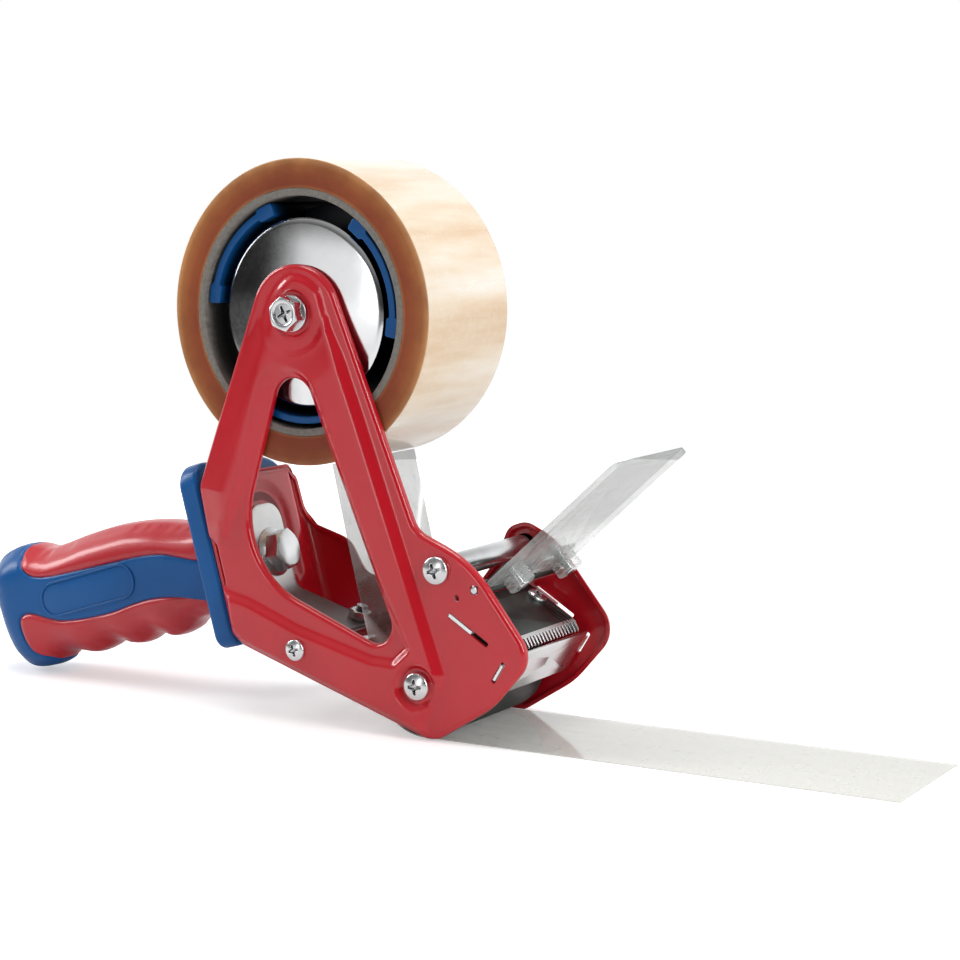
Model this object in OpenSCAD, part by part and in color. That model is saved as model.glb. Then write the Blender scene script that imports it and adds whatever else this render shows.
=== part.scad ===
// Hand-held tape gun dispenser for 50 mm packing tape on a 76 mm core.
// Frame: +X forward to the nose, +Z up, -Y towards the open A-shaped side plate.
// Origin: on the floor below the application roller's axis, midway across the tape.

/* [Tape] */
// Width of the tape and its core
tape_w = 50; // [48:1:50]
// Outer radius of the tape roll as loaded
roll_r = 50.3; // [42:0.1:56]
// Inner radius of the cardboard core
core_bore_r = 38.1; // [38.1:0.1:38.3]
// Wall thickness of the cardboard core
core_wall = 2.5; // [2:0.1:3]
// Length of tape laid on the floor in front of the roller
laid_len = 162; // [80:1:200]

/* [Frame] */
// Thickness of the pressed steel side plates
sheet = 1.5; // [1.2:0.1:1.5]
// Half distance over the two nose plates
half_w = 28.4; // [28.4:0.1:29]
// Height of the roll's axis above the floor
roll_z = 136.4; // [134:0.1:140]
// How far the raised face of the near plate stands out
press_h = 2.2; // [1.8:0.1:2.4]

/* [Roller] */
// Outer radius of the rubber application roller
roller_r = 17.25; // [16.5:0.05:17.25]
// Radius of the roller's rigid core
roller_core_r = 13.5; // [12:0.1:14]

/* [Handle] */
// Downward tilt of the handle and the rear web
tilt = 15.2; // [14.5:0.1:15.2]
// Half thickness of the grip
grip_half = 15; // [13:0.5:16]
// Length of the handle from the rear web
grip_len = 124; // [120:1:127]

/* [Flap] */
// Length of the clear guard flap from its pin
flap_len = 64; // [50:1:66]
// Angle of the flap above the horizontal at rest
flap_angle = 42; // [40:1:46]

/* [Hidden] */
$fn = 64;
gap = 0.05;

// Colours
red = "#c8161d";
blue = "#134a8e";
zinc = "#c9ccd0";
steel = "#8f9499";

// Axes that run across the dispenser, as [x, z]
film_t = 0.2;
film_gap = 0.15;
roller_c = [0, roller_r + film_gap + film_t];
roll_c = [-47, roll_z];
upper_c = [7.6, 56];
rear_c = [-46, 25.4];
pin_c = [21.3, 50.7];
upper_rod_r = 4;
rear_rod_r = 3.5;
axle_r = 4;
axle_screw_r = 3;
pin_r = 1.2;
plate_in = half_w - sheet;
web_c = [-78, 51.2];

// ---- outline helpers ----
function unit(v) = v / norm(v);
// One rounded corner at b between a and c: points of its arc
function corner(a, b, c, r) =
  let (u = unit(a - b), v = unit(c - b), half = acos(u * v) / 2, k = unit(u + v),
       m = b + k * r / sin(half), side = sign(u[0] * v[1] - u[1] * v[0]),
       from = atan2(-k[1], -k[0]), sweep = 90 - half, n = max(2, ceil(sweep / 5)))
  [for (i = [-n:n]) m + r * [cos(from - side * sweep * i / n), sin(from - side * sweep * i / n)]];
// Closed outline from corners [x, z, radius]
function rounded(p) = let (n = len(p))
  [for (i = [0:n - 1]) each let (a = p[(i + n - 1) % n], b = p[i], c = p[(i + 1) % n])
    b[2] > 0 ? corner([a[0], a[1]], [b[0], b[1]], [c[0], c[1]], b[2]) : [[b[0], b[1]]]];
// Smooth closed curve through points
function spline_at(a, b, c, d, t) =
  ((2 * b) + (c - a) * t + (2 * a - 5 * b + 4 * c - d) * t * t + (3 * b - a - 3 * c + d) * t * t * t) / 2;
function smooth(p, steps = 4) = let (n = len(p))
  [for (i = [0:n - 1]) for (k = [0:steps - 1])
    spline_at(p[(i + n - 1) % n], p[i], p[(i + 1) % n], p[(i + 2) % n], k / steps)];

// Extrudes an X-Z outline across the dispenser from y0 to y1
module across(y0, y1) {
  translate([0, y1, 0]) rotate([90, 0, 0]) linear_extrude(y1 - y0) children();
}
// Round bar on an axis that runs across, from y0 to y1
module bar(c, r, y0, y1) {
  across(y0, y1) translate(c) circle(r);
}
// Places children in the rear web's frame: X = away from the nose, Y = across, Z = up the web
module on_web() {
  translate([web_c[0], 0, web_c[1]]) rotate([0, -tilt, 0]) mirror([1, 0, 0]) children();
}
// X-Z place of a point s behind the web's front face and h up from the handle bolt
function web_pt(s, h) = web_c + [-s * cos(tilt) - h * sin(tilt), h * cos(tilt) - s * sin(tilt)];
// Extrudes a Y-Z outline of the web's frame from s0 to s1
module web_slab(s0, s1) {
  on_web() translate([s0, 0, 0]) rotate([90, 0, 90]) linear_extrude(s1 - s0) children();
}
// Extrudes an outline of the handle's side view from y0 to y1
module grip_slab(y0, y1) {
  on_web() translate([0, y1, 0]) rotate([90, 0, 0]) linear_extrude(y1 - y0) children();
}
// Cross recess of a screw, sinking along -Z from z = 0
module cross_recess(size, depth) {
  for (a = [0, 90]) rotate(a) translate([-size / 2, -size / 10, -depth]) cube([size, size / 5, depth + 1]);
}
// Pan-head screw: head's underside at z = 0, shank along -Z
module pan_screw(head_r, head_h, shank_r, shank_l) {
  difference() {
    union() {
      cylinder(r = head_r, h = head_h * 0.45);
      intersection() {
        cylinder(r = head_r, h = head_h);
        translate([0, 0, head_h - head_r * 2]) sphere(head_r * 2);
      }
    }
    translate([0, 0, head_h]) cross_recess(head_r * 1.1, head_h * 0.55);
  }
  translate([0, 0, -shank_l]) cylinder(r = shank_r, h = shank_l + 0.1);
}
// Pan-head screws at both ends of a rod, heads outside the plates
module screw_pair(c, near_y, far_y, head_r, head_h, shank_r, shank_l) {
  translate([c[0], near_y, c[1]]) rotate([90, 0, 0]) pan_screw(head_r, head_h, shank_r, shank_l);
  translate([c[0], far_y, c[1]]) rotate([-90, 0, 0]) pan_screw(head_r, head_h, shank_r, shank_l);
}
// Hexagonal prism across flats af, from z = 0 up
module hexagon(af, h) {
  cylinder(r = af / sqrt(3), h = h, $fn = 6);
}
// Coil spring along Z: coil radius r, wire radius w, length l, given turns
module coil(r, w, l, turns) {
  around = 6;
  n = round(turns * 16);
  pts = [for (i = [0:n]) for (k = [0:around - 1])
    let (a = 360 * turns * i / n, b = 360 * k / around)
    [(r + w * cos(b)) * cos(a), (r + w * cos(b)) * sin(a), w + (l - 2 * w) * i / n + w * sin(b)]];
  skin = [for (i = [0:n - 1]) for (k = [0:around - 1])
    [i * around + k, (i + 1) * around + k, (i + 1) * around + (k + 1) % around, i * around + (k + 1) % around]];
  ends = [[for (k = [0:around - 1]) k], [for (k = [around - 1:-1:0]) n * around + k]];
  polyhedron(pts, concat(skin, ends), convexity = 8);
}

// ---- side plates ----
nose_front = [[42.1, 30.2, 9], [26.8, 12.8, 28], [5.2, -0.6, 10]];
near_outline = concat([[-47, 182.1, 17.2], [-0.7, 68, 8], [19.5, 59.6, 40]], nose_front,
  [[-70, 24, 3], [-74.6, 27.6, 2], [-78.4, 43, 0.8], [-77, 44.6, 0.8], [-80.4, 57.4, 0.8],
   [-83.6, 59.8, 3], [-87.2, 77, 8]]);
window = [[-49, 129.7, 7.5], [-73.1, 51.2, 29], [-5.1, 24.5, 6.5]];
web_mid = sheet / 2;
far_outline = concat([[1.2, 57, 3], [19.5, 59.6, 28]], nose_front,
  [[-70, 24, 2], [each web_pt(web_mid, -23), 1], [each web_pt(web_mid, 5), 2],
   [-64, 52.5, 8], [-57, 40.5, 8], [-12, 37, 14], [-2, 50, 5]]);
// The raised face ends on this line beside the nose
ridge = [[-29, 128], [-19.5, 103], [-2, 55], [8.5, 21], [2, 8], [5, -10], [-100, -10], [-100, 170], [-40, 170]];

// Slots in both plates for the blade holder and the front plate
holder_o = [12, 42];
holder_tilt = 31.6;
front_o = [32.7, 29.5];
front_tilt = 58.3;
module plate_slots(y0, y1) {
  across(y0, y1) translate(holder_o) rotate(-holder_tilt) translate([-0.2, -0.8]) square([16.8, 1.6]);
  across(y0, y1) translate(front_o) rotate(180 + front_tilt) translate([1.3, -0.75]) square([8, 1.5]);
  bar(pin_c, pin_r + gap, y0, y1);
  bar([14.7, 47.5], 1.1, y0, y1);
  bar(upper_c, 2.6, y0, y1);
  bar(roller_c, 2.6, y0, y1);
  bar(rear_c, 2.1, y0, y1);
}
module raised_face(inset) {
  offset(delta = -inset) difference() {
    intersection() {
      offset(delta = -2.5) polygon(rounded(near_outline));
      polygon(ridge);
    }
    offset(delta = 4) polygon(rounded(window));
    translate(roller_c) circle(8);
    translate(roll_c) circle(7.8);
  }
}
module near_side_plate() color(red) {
  near_y = -half_w;
  difference() {
    union() {
      difference() {
        across(near_y, near_y + sheet) polygon(rounded(near_outline));
        across(near_y - 1, near_y + sheet + 1) raised_face(sheet);
      }
      across(near_y - press_h, near_y - press_h + sheet) raised_face(0);
      difference() {
        across(near_y - press_h, near_y + sheet) raised_face(0);
        across(near_y - press_h - 1, near_y + sheet + 1) raised_face(sheet);
      }
      // inward rim along the outer edge and the window
      difference() {
        across(near_y, near_y + 2.6) polygon(rounded(near_outline));
        across(near_y - 1, near_y + 3) offset(delta = -1.2) polygon(rounded(near_outline));
      }
      difference() {
        across(near_y, near_y + 2.6) offset(delta = 1.2) polygon(rounded(window));
        across(near_y - 1, near_y + 3) polygon(rounded(window));
      }
      // rear flange behind the far plate's web
      web_slab(sheet + 0.02, 2 * sheet) translate([near_y, -20]) square([half_w + 20, 32]);
    }
    across(near_y - 5, near_y + 5) polygon(rounded(window));
    plate_slots(near_y - 5, near_y + 5);
    bar(roll_c, axle_screw_r + gap, near_y - 5, near_y + 5);
    web_slab(0, 5) circle(bolt_r + gap);
    // the outer face stays clear of the guard
    web_slab(2 * sheet, 12) translate([-half_w - 4, -40]) square([10, 90]);
  }
}
web_outline = [[-25.6, -22, 2], [half_w - 0.8, -22, 1], [half_w - 0.8, 6, 3], [25, 11, 6], [24, 28.3, 4],
  [-24, 28.3, 4], [-25.6, 8, 4]];
module far_side_plate() color(red) {
  difference() {
    union() {
      across(plate_in, half_w) polygon(rounded(far_outline));
      bar(upper_c, 6.6, plate_in, half_w);
      web_slab(0, sheet) polygon(rounded(web_outline));
    }
    plate_slots(plate_in - 1, half_w + 1);
    web_slab(-1, 3) circle(bolt_r + gap);
  }
}

// ---- brace between the handle bolt and the rear rod ----
strap_t = 1.5;
strap_half = 9;
strap_top = 17.2;
bend_h = -14;
bend = web_c + [-bend_h * sin(tilt) + strap_t / 2 * cos(tilt), bend_h * cos(tilt) + strap_t / 2 * sin(tilt)];
leg_v = rear_c - bend;
leg_lift = rear_rod_r + strap_t / 2 + 0.02;
leg_angle = atan2(leg_v[1], leg_v[0]) + asin(leg_lift / norm(leg_v));
leg_len = sqrt(norm(leg_v) * norm(leg_v) - leg_lift * leg_lift);
screw_y = 5;
module on_leg(at) {
  translate([bend[0], screw_y, bend[1]]) rotate([0, -leg_angle, 0]) translate([at, 0, 0]) children();
}
// Half of the strap's bend, from its middle line to the inner corner
up_v = web_pt(0, 1) - web_pt(0, 0);
leg_dir = [cos(leg_angle), sin(leg_angle)];
bend_k = unit(up_v + leg_dir) * (strap_t / 2) / sin(acos(up_v * leg_dir) / 2);
leg_up = [-leg_dir[1], leg_dir[0]] * strap_t / 2;
leg_end = bend + leg_dir * (leg_len + 4.5);
module brace_strap() color(zinc) {
  difference() {
    intersection() {
      across(-strap_half - 1, strap_half + 1) polygon(rounded([[each web_pt(-0.02, strap_top + 1), 0],
        [each bend - bend_k, 2.2], [each leg_end - leg_up, 0], [each leg_end + leg_up, 0],
        [each bend + bend_k, 0.7], [each web_pt(-strap_t, strap_top + 1), 0]]));
      web_slab(-60, 1) polygon(rounded([[-strap_half, -60, 3], [strap_half, -60, 3],
        [strap_half, strap_top, 6.5], [-strap_half, strap_top, 6.5]]));
    }
    web_slab(-5, 2) circle(bolt_r + gap);
    on_leg(leg_len) translate([0, 0, -5]) cylinder(r = 2.05, h = 10);
  }
}
module brace_screw() color(steel) {
  on_leg(leg_len) rotate([180, 0, 0]) translate([0, 0, strap_t / 2 + 2 * rear_rod_r + 0.1])
    pan_screw(3.5, 2.2, 2, 2 * rear_rod_r + strap_t + 5);
}
module brace_nut() color(zinc) {
  on_leg(leg_len) translate([0, 0, strap_t / 2 + 0.02]) difference() {
    hexagon(7, 3.2);
    translate([0, 0, -1]) cylinder(r = 2.05, h = 6);
  }
}

// ---- rods and their screws ----
module tapped_rod(c, r, y0, y1, hole_r, hole_l) {
  difference() {
    bar(c, r, y0, y1);
    bar(c, hole_r, y0 - 1, y0 + hole_l);
    bar(c, hole_r, y1 - hole_l, y1 + 1);
  }
}
module upper_spacer_rod() color(zinc) {
  tapped_rod(upper_c, upper_rod_r, -plate_in, plate_in, 2.5 + gap, 10);
}
module rear_spacer_rod() color(zinc) {
  difference() {
    tapped_rod(rear_c, rear_rod_r, -plate_in - press_h, plate_in, 2 + gap, 10);
    on_leg(leg_len) translate([0, 0, -12]) cylinder(r = 2.05, h = 16);
  }
}
module plate_screws() color(zinc) {
  for (c = [upper_c, roller_c]) screw_pair(c, -half_w, half_w, 4.6, 2.6, 2.5, 9);
}
module rear_rod_screws() color(zinc) {
  screw_pair(rear_c, -half_w - press_h, half_w, 3.6, 2.2, 2, 8);
}

// ---- application roller ----
roller_half = 25.4;
module roller_axle() color(steel) {
  tapped_rod(roller_c, axle_r, -plate_in, plate_in, 2.5 + gap, 10);
}
module roller_bushes() color("#d9d9d2") {
  for (side = [-1, 1]) difference() {
    union() {
      bar(roller_c, 6, min(side * 13, side * roller_half), max(side * 13, side * roller_half));
      bar(roller_c, 7.5, min(side * (roller_half + gap), side * 26.3), max(side * (roller_half + gap), side * 26.3));
      bar(roller_c, 5.9, min(side * 25, side * 26), max(side * 25, side * 26));
    }
    bar(roller_c, axle_r + gap, -30, 30);
  }
}
module roller_core() color("#3a3d40") {
  difference() {
    bar(roller_c, roller_core_r, -roller_half, roller_half);
    bar(roller_c, 6 + gap, -30, 30);
  }
}
module roller_sleeve() color("#4a4f4e") {
  difference() {
    bar(roller_c, roller_r, -roller_half, roller_half);
    bar(roller_c, roller_core_r + gap, -30, 30);
  }
}

// ---- cutting edge ----
holder_half = 26.2;
holder_l = 19.5;
holder_t = 1.2;
blade_t = 0.6;
blade_tip = 22.7;
tooth_l = 3.4;
tooth_n = 24;
// X = along the holder's top towards the teeth, Y = across, Z = out of its top face
module on_holder() {
  translate([holder_o[0], 0, holder_o[1]]) rotate([0, holder_tilt, 0]) translate([0, 0, holder_t / 2]) children();
}
module blade_screw_places() {
  for (side = [-1, 1]) on_holder() translate([4.7, side * 20, blade_t + 0.02]) children();
}
module blade_holder() color("#5d6664") {
  difference() {
    union() {
      on_holder() translate([-3, -holder_half, -holder_t]) cube([holder_l + 3, 2 * holder_half, holder_t]);
      on_holder() translate([0, -half_w - 0.3, -holder_t]) cube([9.8, 2 * half_w + 0.6, holder_t]);
    }
    blade_screw_places() translate([0, 0, -10]) cylinder(r = 1.8, h = 12);
  }
}
module blade() color(steel) {
  pitch = 2 * 25 / tooth_n;
  difference() {
    on_holder() translate([0, 0, 0.01]) linear_extrude(blade_t)
      polygon(concat([[1, 25], [1, -25]], [for (i = [0:tooth_n - 1])
        each [[blade_tip - tooth_l, -25 + i * pitch], [blade_tip, -25 + (i + 0.5) * pitch]]],
        [[blade_tip - tooth_l, 25]]));
    blade_screw_places() translate([0, 0, -10]) cylinder(r = 1.8, h = 12);
  }
}
module blade_screws() color(zinc) {
  blade_screw_places() pan_screw(3.3, 1.9, 1.7, 4.5);
}
module front_plate() color("#d5d8da") {
  difference() {
    union() {
      across(-holder_half, holder_half) translate(front_o) rotate(180 + front_tilt)
        translate([0, -0.5]) square([16.2, 1]);
      across(-half_w - 0.3, half_w + 0.3) translate(front_o) rotate(180 + front_tilt)
        translate([2.3, -0.5]) square([6, 1]);
    }
    // small slit near the middle
    translate([front_o[0], 4, front_o[1]]) rotate([0, 90 + 90 - front_tilt, 0])
      translate([6, 0, -3]) cube([3.5, 0.5, 6]);
  }
}

// ---- clear flap ----
leaf_t = 0.8;
leaf_half = 23;
rivet_y = 16;
rivet_at = 8.5;
spring_half = 5;
// X = along the flap away from its pin, Y = across, Z = out of its rear face
module on_flap() {
  translate([pin_c[0], 0, pin_c[1]]) rotate([0, -flap_angle, 0]) children();
}
module flap_pin() color(steel) {
  bar(pin_c, pin_r, -half_w - 0.2, half_w + 0.2);
}
module flap_hinge_leaf() color("#4b4f52") {
  difference() {
    union() {
      on_flap() translate([1.6, -leaf_half, 0.1]) cube([11, 2 * leaf_half, leaf_t]);
      bar(pin_c, 2.2, -leaf_half, leaf_half);
    }
    bar(pin_c, pin_r + gap, -leaf_half - 1, leaf_half + 1);
    on_flap() translate([-5, -spring_half, -4]) cube([9.5, 2 * spring_half, 8]);
    for (side = [-1, 1]) on_flap() translate([rivet_at, side * rivet_y, -5]) cylinder(r = 1.55, h = 10);
  }
}
module clear_flap() color([0.9, 0.95, 0.97, 0.45]) {
  difference() {
    union() {
      on_flap() translate([3, -25, -1.95]) cube([flap_len - 3, 50, 2]);
      for (side = [-1, 1]) on_flap() translate([rivet_at, side * rivet_y, -6.6]) {
        cylinder(r = 4.4, h = 4.8);
        for (z = [0.3, 2, 3.7]) translate([0, 0, z]) cylinder(r = 4.8, h = 0.8);
      }
      on_flap() translate([rivet_at + 1, 0, -2.7]) linear_extrude(1) {
        translate([-2, 0]) circle(2.4);
        translate([2, 0]) circle(2.4);
      }
    }
    for (side = [-1, 1]) on_flap() translate([rivet_at, side * rivet_y, -10]) cylinder(r = 1.55, h = 14);
    on_flap() translate([-1, -spring_half, -4]) cube([5.5, 2 * spring_half, 8]);
  }
}
module flap_rivets() color(zinc) {
  for (side = [-1, 1]) on_flap() translate([rivet_at, side * rivet_y, 0]) {
    translate([0, 0, -7]) cylinder(r = 1.5, h = 8.2);
    translate([0, 0, 0.92]) cylinder(r = 2.6, h = 0.7);
    translate([0, 0, -7.3]) cylinder(r = 2.2, h = 0.68);
  }
}
module flap_spring() color(steel) {
  translate([pin_c[0], -4, pin_c[1]]) rotate([-90, 0, 0]) coil(2.3, 0.45, 8, 7);
}

// ---- roll axle, hub and brake ----
module ring(c, r_in, r_out, y0, y1) {
  difference() {
    bar(c, r_out, y0, y1);
    bar(c, r_in, y0 - 1, y1 + 1);
  }
}
disc_r = 31;
disc_y = -22;
washer_t = 1;
screw_l = 14;
module axle_shaft() color(steel) {
  difference() {
    union() {
      bar(roll_c, axle_r, -plate_in + gap, 36.5);
      bar(roll_c, 7, -plate_in + gap, -25.3);
    }
    bar(roll_c, axle_screw_r + gap, -plate_in - 1, -plate_in + screw_l);
  }
}
module axle_washer() color(zinc) {
  ring(roll_c, axle_screw_r + gap, 6, -half_w - washer_t, -half_w - 0.02);
}
// Hexagon head with a dished top and a cross recess
module axle_screw() color(zinc) {
  head_h = 4.6;
  translate([roll_c[0], -half_w - washer_t - 0.02, roll_c[1]]) rotate([90, 0, 0]) difference() {
    union() {
      hexagon(10, head_h);
      translate([0, 0, -screw_l]) cylinder(r = axle_screw_r, h = screw_l + 0.1);
    }
    translate([0, 0, head_h - 0.6]) cylinder(r = 3.7, h = 2);
    translate([0, 0, head_h - 0.6]) cross_recess(6, 2);
  }
}
// Shallow dome, bulging towards the near plate
module pressure_disc() color("#e6e8ea") {
  bulge = 3.2;
  bore = axle_r + gap;
  dome_r = (disc_r * disc_r + bulge * bulge) / (2 * bulge);
  radii = [for (i = [0:10]) bore + (disc_r - bore) * i / 10];
  top = [for (r = radii) [r, bulge - dome_r + sqrt(dome_r * dome_r - r * r)]];
  under = [for (i = [10:-1:0]) [top[i][0], top[i][1] - 1]];
  translate([roll_c[0], disc_y, roll_c[1]]) rotate([90, 0, 0]) rotate_extrude() polygon(concat(top, under));
}
hub_near = -23.5;
hub_far = 22.5;
hub_web_y = -5;
module hub_bush() color("#d9d9d2") {
  ring(roll_c, axle_r + gap, 5.4, -18, 20.4);
}
arc_at = [22, 142, 262];
arc_half = 34;
arc_in = 34.2;
arc_out = 36.6;
module wedge(a0, a1, r) {
  polygon(concat([[0, 0]], [for (i = [0:8]) r * [cos(a0 + (a1 - a0) * i / 8), sin(a0 + (a1 - a0) * i / 8)]]));
}
module hub_wheel() color(blue) {
  difference() {
    union() {
      bar(roll_c, 8.5, -18, 20.4);
      bar(roll_c, arc_out - 1.4, hub_web_y, hub_web_y + 2.5);
      for (a = arc_at) {
        across(hub_far - 2.5, hub_far) translate(roll_c) rotate(a) translate([6, -3]) square([29, 6]);
        across(hub_near, hub_far) translate(roll_c) {
          intersection() {
            difference() {
              circle(arc_out, $fn = 120);
              circle(arc_in, $fn = 120);
            }
            wedge(a - arc_half, a + arc_half, 45);
          }
          for (side = [-1, 1]) rotate(a + side * (arc_half - 4)) translate([arc_in - 1.1, -3.2]) square([4.5, 6.4]);
        }
      }
    }
    bar(roll_c, 5.45, -30, 30);
  }
}
module brake_washer() color(zinc) {
  ring(roll_c, axle_r + gap, 9, hub_far + 0.2, hub_far + 1.4);
}
module brake_spring() color(steel) {
  translate([roll_c[0], 24.1, roll_c[1]]) rotate([-90, 0, 0]) coil(6.2, 0.8, 5.4, 2);
}
module brake_knob() color("#26292c") {
  difference() {
    union() {
      bar(roll_c, 9, 29.7, 37);
      for (a = [0:60:300]) bar(roll_c + 8 * [cos(a), sin(a)], 2.6, 29.7, 36);
    }
    bar(roll_c, axle_r + gap, 29, 36.6);
  }
}

// ---- tape ----
core_r = core_bore_r + core_wall;
module tape_core() color("#b9b0a4") {
  ring(roll_c, core_bore_r, core_r, -tape_w / 2, tape_w / 2);
}
module tape_roll() color("#b8702f") {
  ring(roll_c, core_r + gap, roll_r, -tape_w / 2, tape_w / 2);
}
// Film from the roll down to the application roller, under it and along the floor
film_lean = 13.3;
film_r = roller_r + film_gap;
peel_x = 12.6;
module tape_web() color([0.88, 0.86, 0.8, 0.6]) {
  leave = roller_c + (film_r + film_t / 2) * [-cos(film_lean), -sin(film_lean)];
  rise = (roll_c[1] - sqrt(roll_r * roll_r - peel_x * peel_x) - 0.4 - leave[1]) / cos(film_lean);
  across(-tape_w / 2, tape_w / 2) {
    translate(leave) rotate(film_lean) translate([-film_t / 2, 0]) square([film_t, rise]);
    translate(roller_c) intersection() {
      difference() {
        circle(film_r + film_t, $fn = 120);
        circle(film_r, $fn = 120);
      }
      wedge(180 + film_lean, 270, 1.4 * film_r);
    }
    translate([-2, 0]) square([laid_len + 2, film_t]);
  }
}

// ---- handle ----
// Side view, as [distance from the web, height above its axis]
grip_outline = [[11, 15.5], [22, 16.2], [32, 17.8], [42, 20.2], [52, 21.8], [64, 22.5], [78, 22], [90, 20.9],
  [98, 21], [106, 23.8], [114, 24], [121, 21.8], [125.6, 17], [127, 9], [126.6, -1], [125.2, -10], [122, -17.4],
  [117, -21.2], [111, -22], [105, -21.4], [99, -18], [92, -19.3], [86, -20.8], [80, -20], [74, -17.9], [68, -20.4],
  [62, -21], [54.6, -18.3], [48, -21.2], [41, -20.4], [35, -17.3], [24, -15.8], [11, -15]];
band_top = [[22, 3.3], [30, 6], [38, 8.4], [48, 9.5], [62, 9.7], [80, 9.9], [92, 10.2], [100, 11.6], [104.6, 15],
  [105.8, 19.6], [103, 30]];
band_low = [[22, -11.5], [33, -8], [44, -6.3], [54, -6.4], [66, -7.6], [80, -7.5], [91, -6.3], [98, -4],
  [105, -1.3], [109.6, -2], [110.8, -6], [109, -14], [104.6, -18.8], [98, -30]];
// Region above the blue band, and the region below it
guard_s0 = 2 * sheet + gap;
guard_s1 = 11;
top_region = concat([[guard_s1 - 5, 40], [guard_s1 - 5, -2]], band_top, [[95, 40]]);
low_region = concat([[guard_s1 - 5, -40], [guard_s1 - 5, -13.5]], band_low);
// The outlines above are drawn for a handle of this length
drawn_len = 127;
grip_k = grip_len / drawn_len;
bolt_r = 4;
bolt_head_h = 5.4;
flange_t = 1.7;
nut_s = 38;
nut_h = 6.5;
nut_corner = 13 / sqrt(3);
bolt_end = 46;
module grip_side() {
  scale([grip_k, 1]) polygon(smooth(grip_outline, 3));
}
// Rounded section of the grip, swept straight along its axis
module grip_body() {
  intersection() {
    grip_slab(-grip_half, grip_half) grip_side();
    web_slab(guard_s1, grip_len + 1)
      polygon(rounded([for (c = [[-1, -25], [1, -25], [1, 26.5], [-1, 26.5]]) [c[0] * grip_half, c[1], 12]]));
  }
}
module bolt_pocket() {
  web_slab(0, bolt_end + 2) circle(bolt_r + gap);
  web_slab(nut_s - gap, nut_s + nut_h + gap) circle(nut_corner + gap, $fn = 6);
}
module handle_core() color(blue) {
  difference() {
    grip_body();
    grip_slab(-20, 20) scale([grip_k, 1]) polygon(top_region);
    grip_slab(-20, 20) scale([grip_k, 1]) polygon(low_region);
    bolt_pocket();
  }
}
module grip_inlay(region, shift_h) {
  difference() {
    intersection() {
      grip_body();
      grip_slab(-20, 20) scale([grip_k, 1]) translate([-gap, shift_h]) polygon(region);
    }
    bolt_pocket();
  }
}
module grip_top() color(red) {
  grip_inlay(top_region, gap);
}
module grip_bottom() color(red) {
  grip_inlay(low_region, -gap);
}
module handle_guard() color(blue) {
  difference() {
    web_slab(guard_s0, guard_s1 - gap)
      polygon(rounded([[-27.8, -28.3, 5], [27.8, -28.3, 5], [27.8, 33.5, 18], [-27.8, 35.6, 8]]));
    web_slab(0, 20) circle(bolt_r + gap);
  }
}
module badge_shape() {
  translate([74.5 * grip_k, 2]) rotate(-1.5) {
    square([32, 13], center = true);
    for (side = [-1, 1]) translate([side * 16, 0]) circle(6.5);
  }
}
module handle_badges() color("#1b559d") {
  grip_slab(-grip_half - 0.6, -grip_half - 0.02) badge_shape();
  grip_slab(grip_half + 0.02, grip_half + 0.6) badge_shape();
}
module handle_washer() color(zinc) {
  web_slab(-strap_t - flange_t, -strap_t - 0.02) difference() {
    circle(8.6);
    circle(bolt_r + gap);
  }
}
module handle_bolt() color(zinc) {
  web_slab(-strap_t - flange_t - bolt_head_h, -strap_t - flange_t - 0.02) circle(nut_corner, $fn = 6);
  web_slab(-strap_t - 3, bolt_end) circle(bolt_r);
}
module handle_nut() color(steel) {
  web_slab(nut_s, nut_s + nut_h) difference() {
    circle(nut_corner, $fn = 6);
    circle(bolt_r + gap);
  }
}

near_side_plate();
far_side_plate();
brace_strap();
brace_screw();
brace_nut();
upper_spacer_rod();
rear_spacer_rod();
plate_screws();
rear_rod_screws();
roller_axle();
roller_bushes();
roller_core();
roller_sleeve();
blade_holder();
blade();
blade_screws();
front_plate();
flap_pin();
flap_hinge_leaf();
clear_flap();
flap_rivets();
flap_spring();
axle_shaft();
axle_screw();
axle_washer();
pressure_disc();
hub_bush();
hub_wheel();
brake_washer();
brake_spring();
brake_knob();
tape_core();
tape_roll();
tape_web();
handle_bolt();
handle_washer();
handle_nut();
handle_guard();
handle_core();
grip_top();
grip_bottom();
handle_badges();
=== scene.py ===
import math
from functools import cache

import bmesh
import bpy
import numpy as np
from mathutils import Matrix, Vector
from mathutils.geometry import delaunay_2d_cdt, tessellate_polygon


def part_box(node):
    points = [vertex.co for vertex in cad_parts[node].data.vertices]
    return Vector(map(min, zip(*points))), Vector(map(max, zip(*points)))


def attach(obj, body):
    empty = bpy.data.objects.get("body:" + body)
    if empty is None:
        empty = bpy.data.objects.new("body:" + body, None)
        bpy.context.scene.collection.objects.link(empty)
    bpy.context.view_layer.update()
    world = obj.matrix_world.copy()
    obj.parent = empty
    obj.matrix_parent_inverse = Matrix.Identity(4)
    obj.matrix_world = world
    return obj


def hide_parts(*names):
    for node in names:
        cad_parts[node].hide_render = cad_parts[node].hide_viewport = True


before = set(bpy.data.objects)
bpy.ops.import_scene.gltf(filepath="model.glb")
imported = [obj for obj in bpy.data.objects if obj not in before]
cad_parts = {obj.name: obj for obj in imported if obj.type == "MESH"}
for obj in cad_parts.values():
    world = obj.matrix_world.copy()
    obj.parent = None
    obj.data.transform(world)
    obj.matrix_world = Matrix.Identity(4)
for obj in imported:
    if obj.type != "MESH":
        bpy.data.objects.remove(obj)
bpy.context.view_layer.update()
MM = 0.001


# ---- places, in mm, from the frame
def centre(node):
    low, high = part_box(node)
    return (low + high) / 2 / MM


def low(node):
    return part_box(node)[0] / MM


def high(node):
    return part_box(node)[1] / MM


def radius(node):
    """Half the height of a node that is round about an axis across."""
    return (high(node).z - low(node).z) / 2


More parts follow.
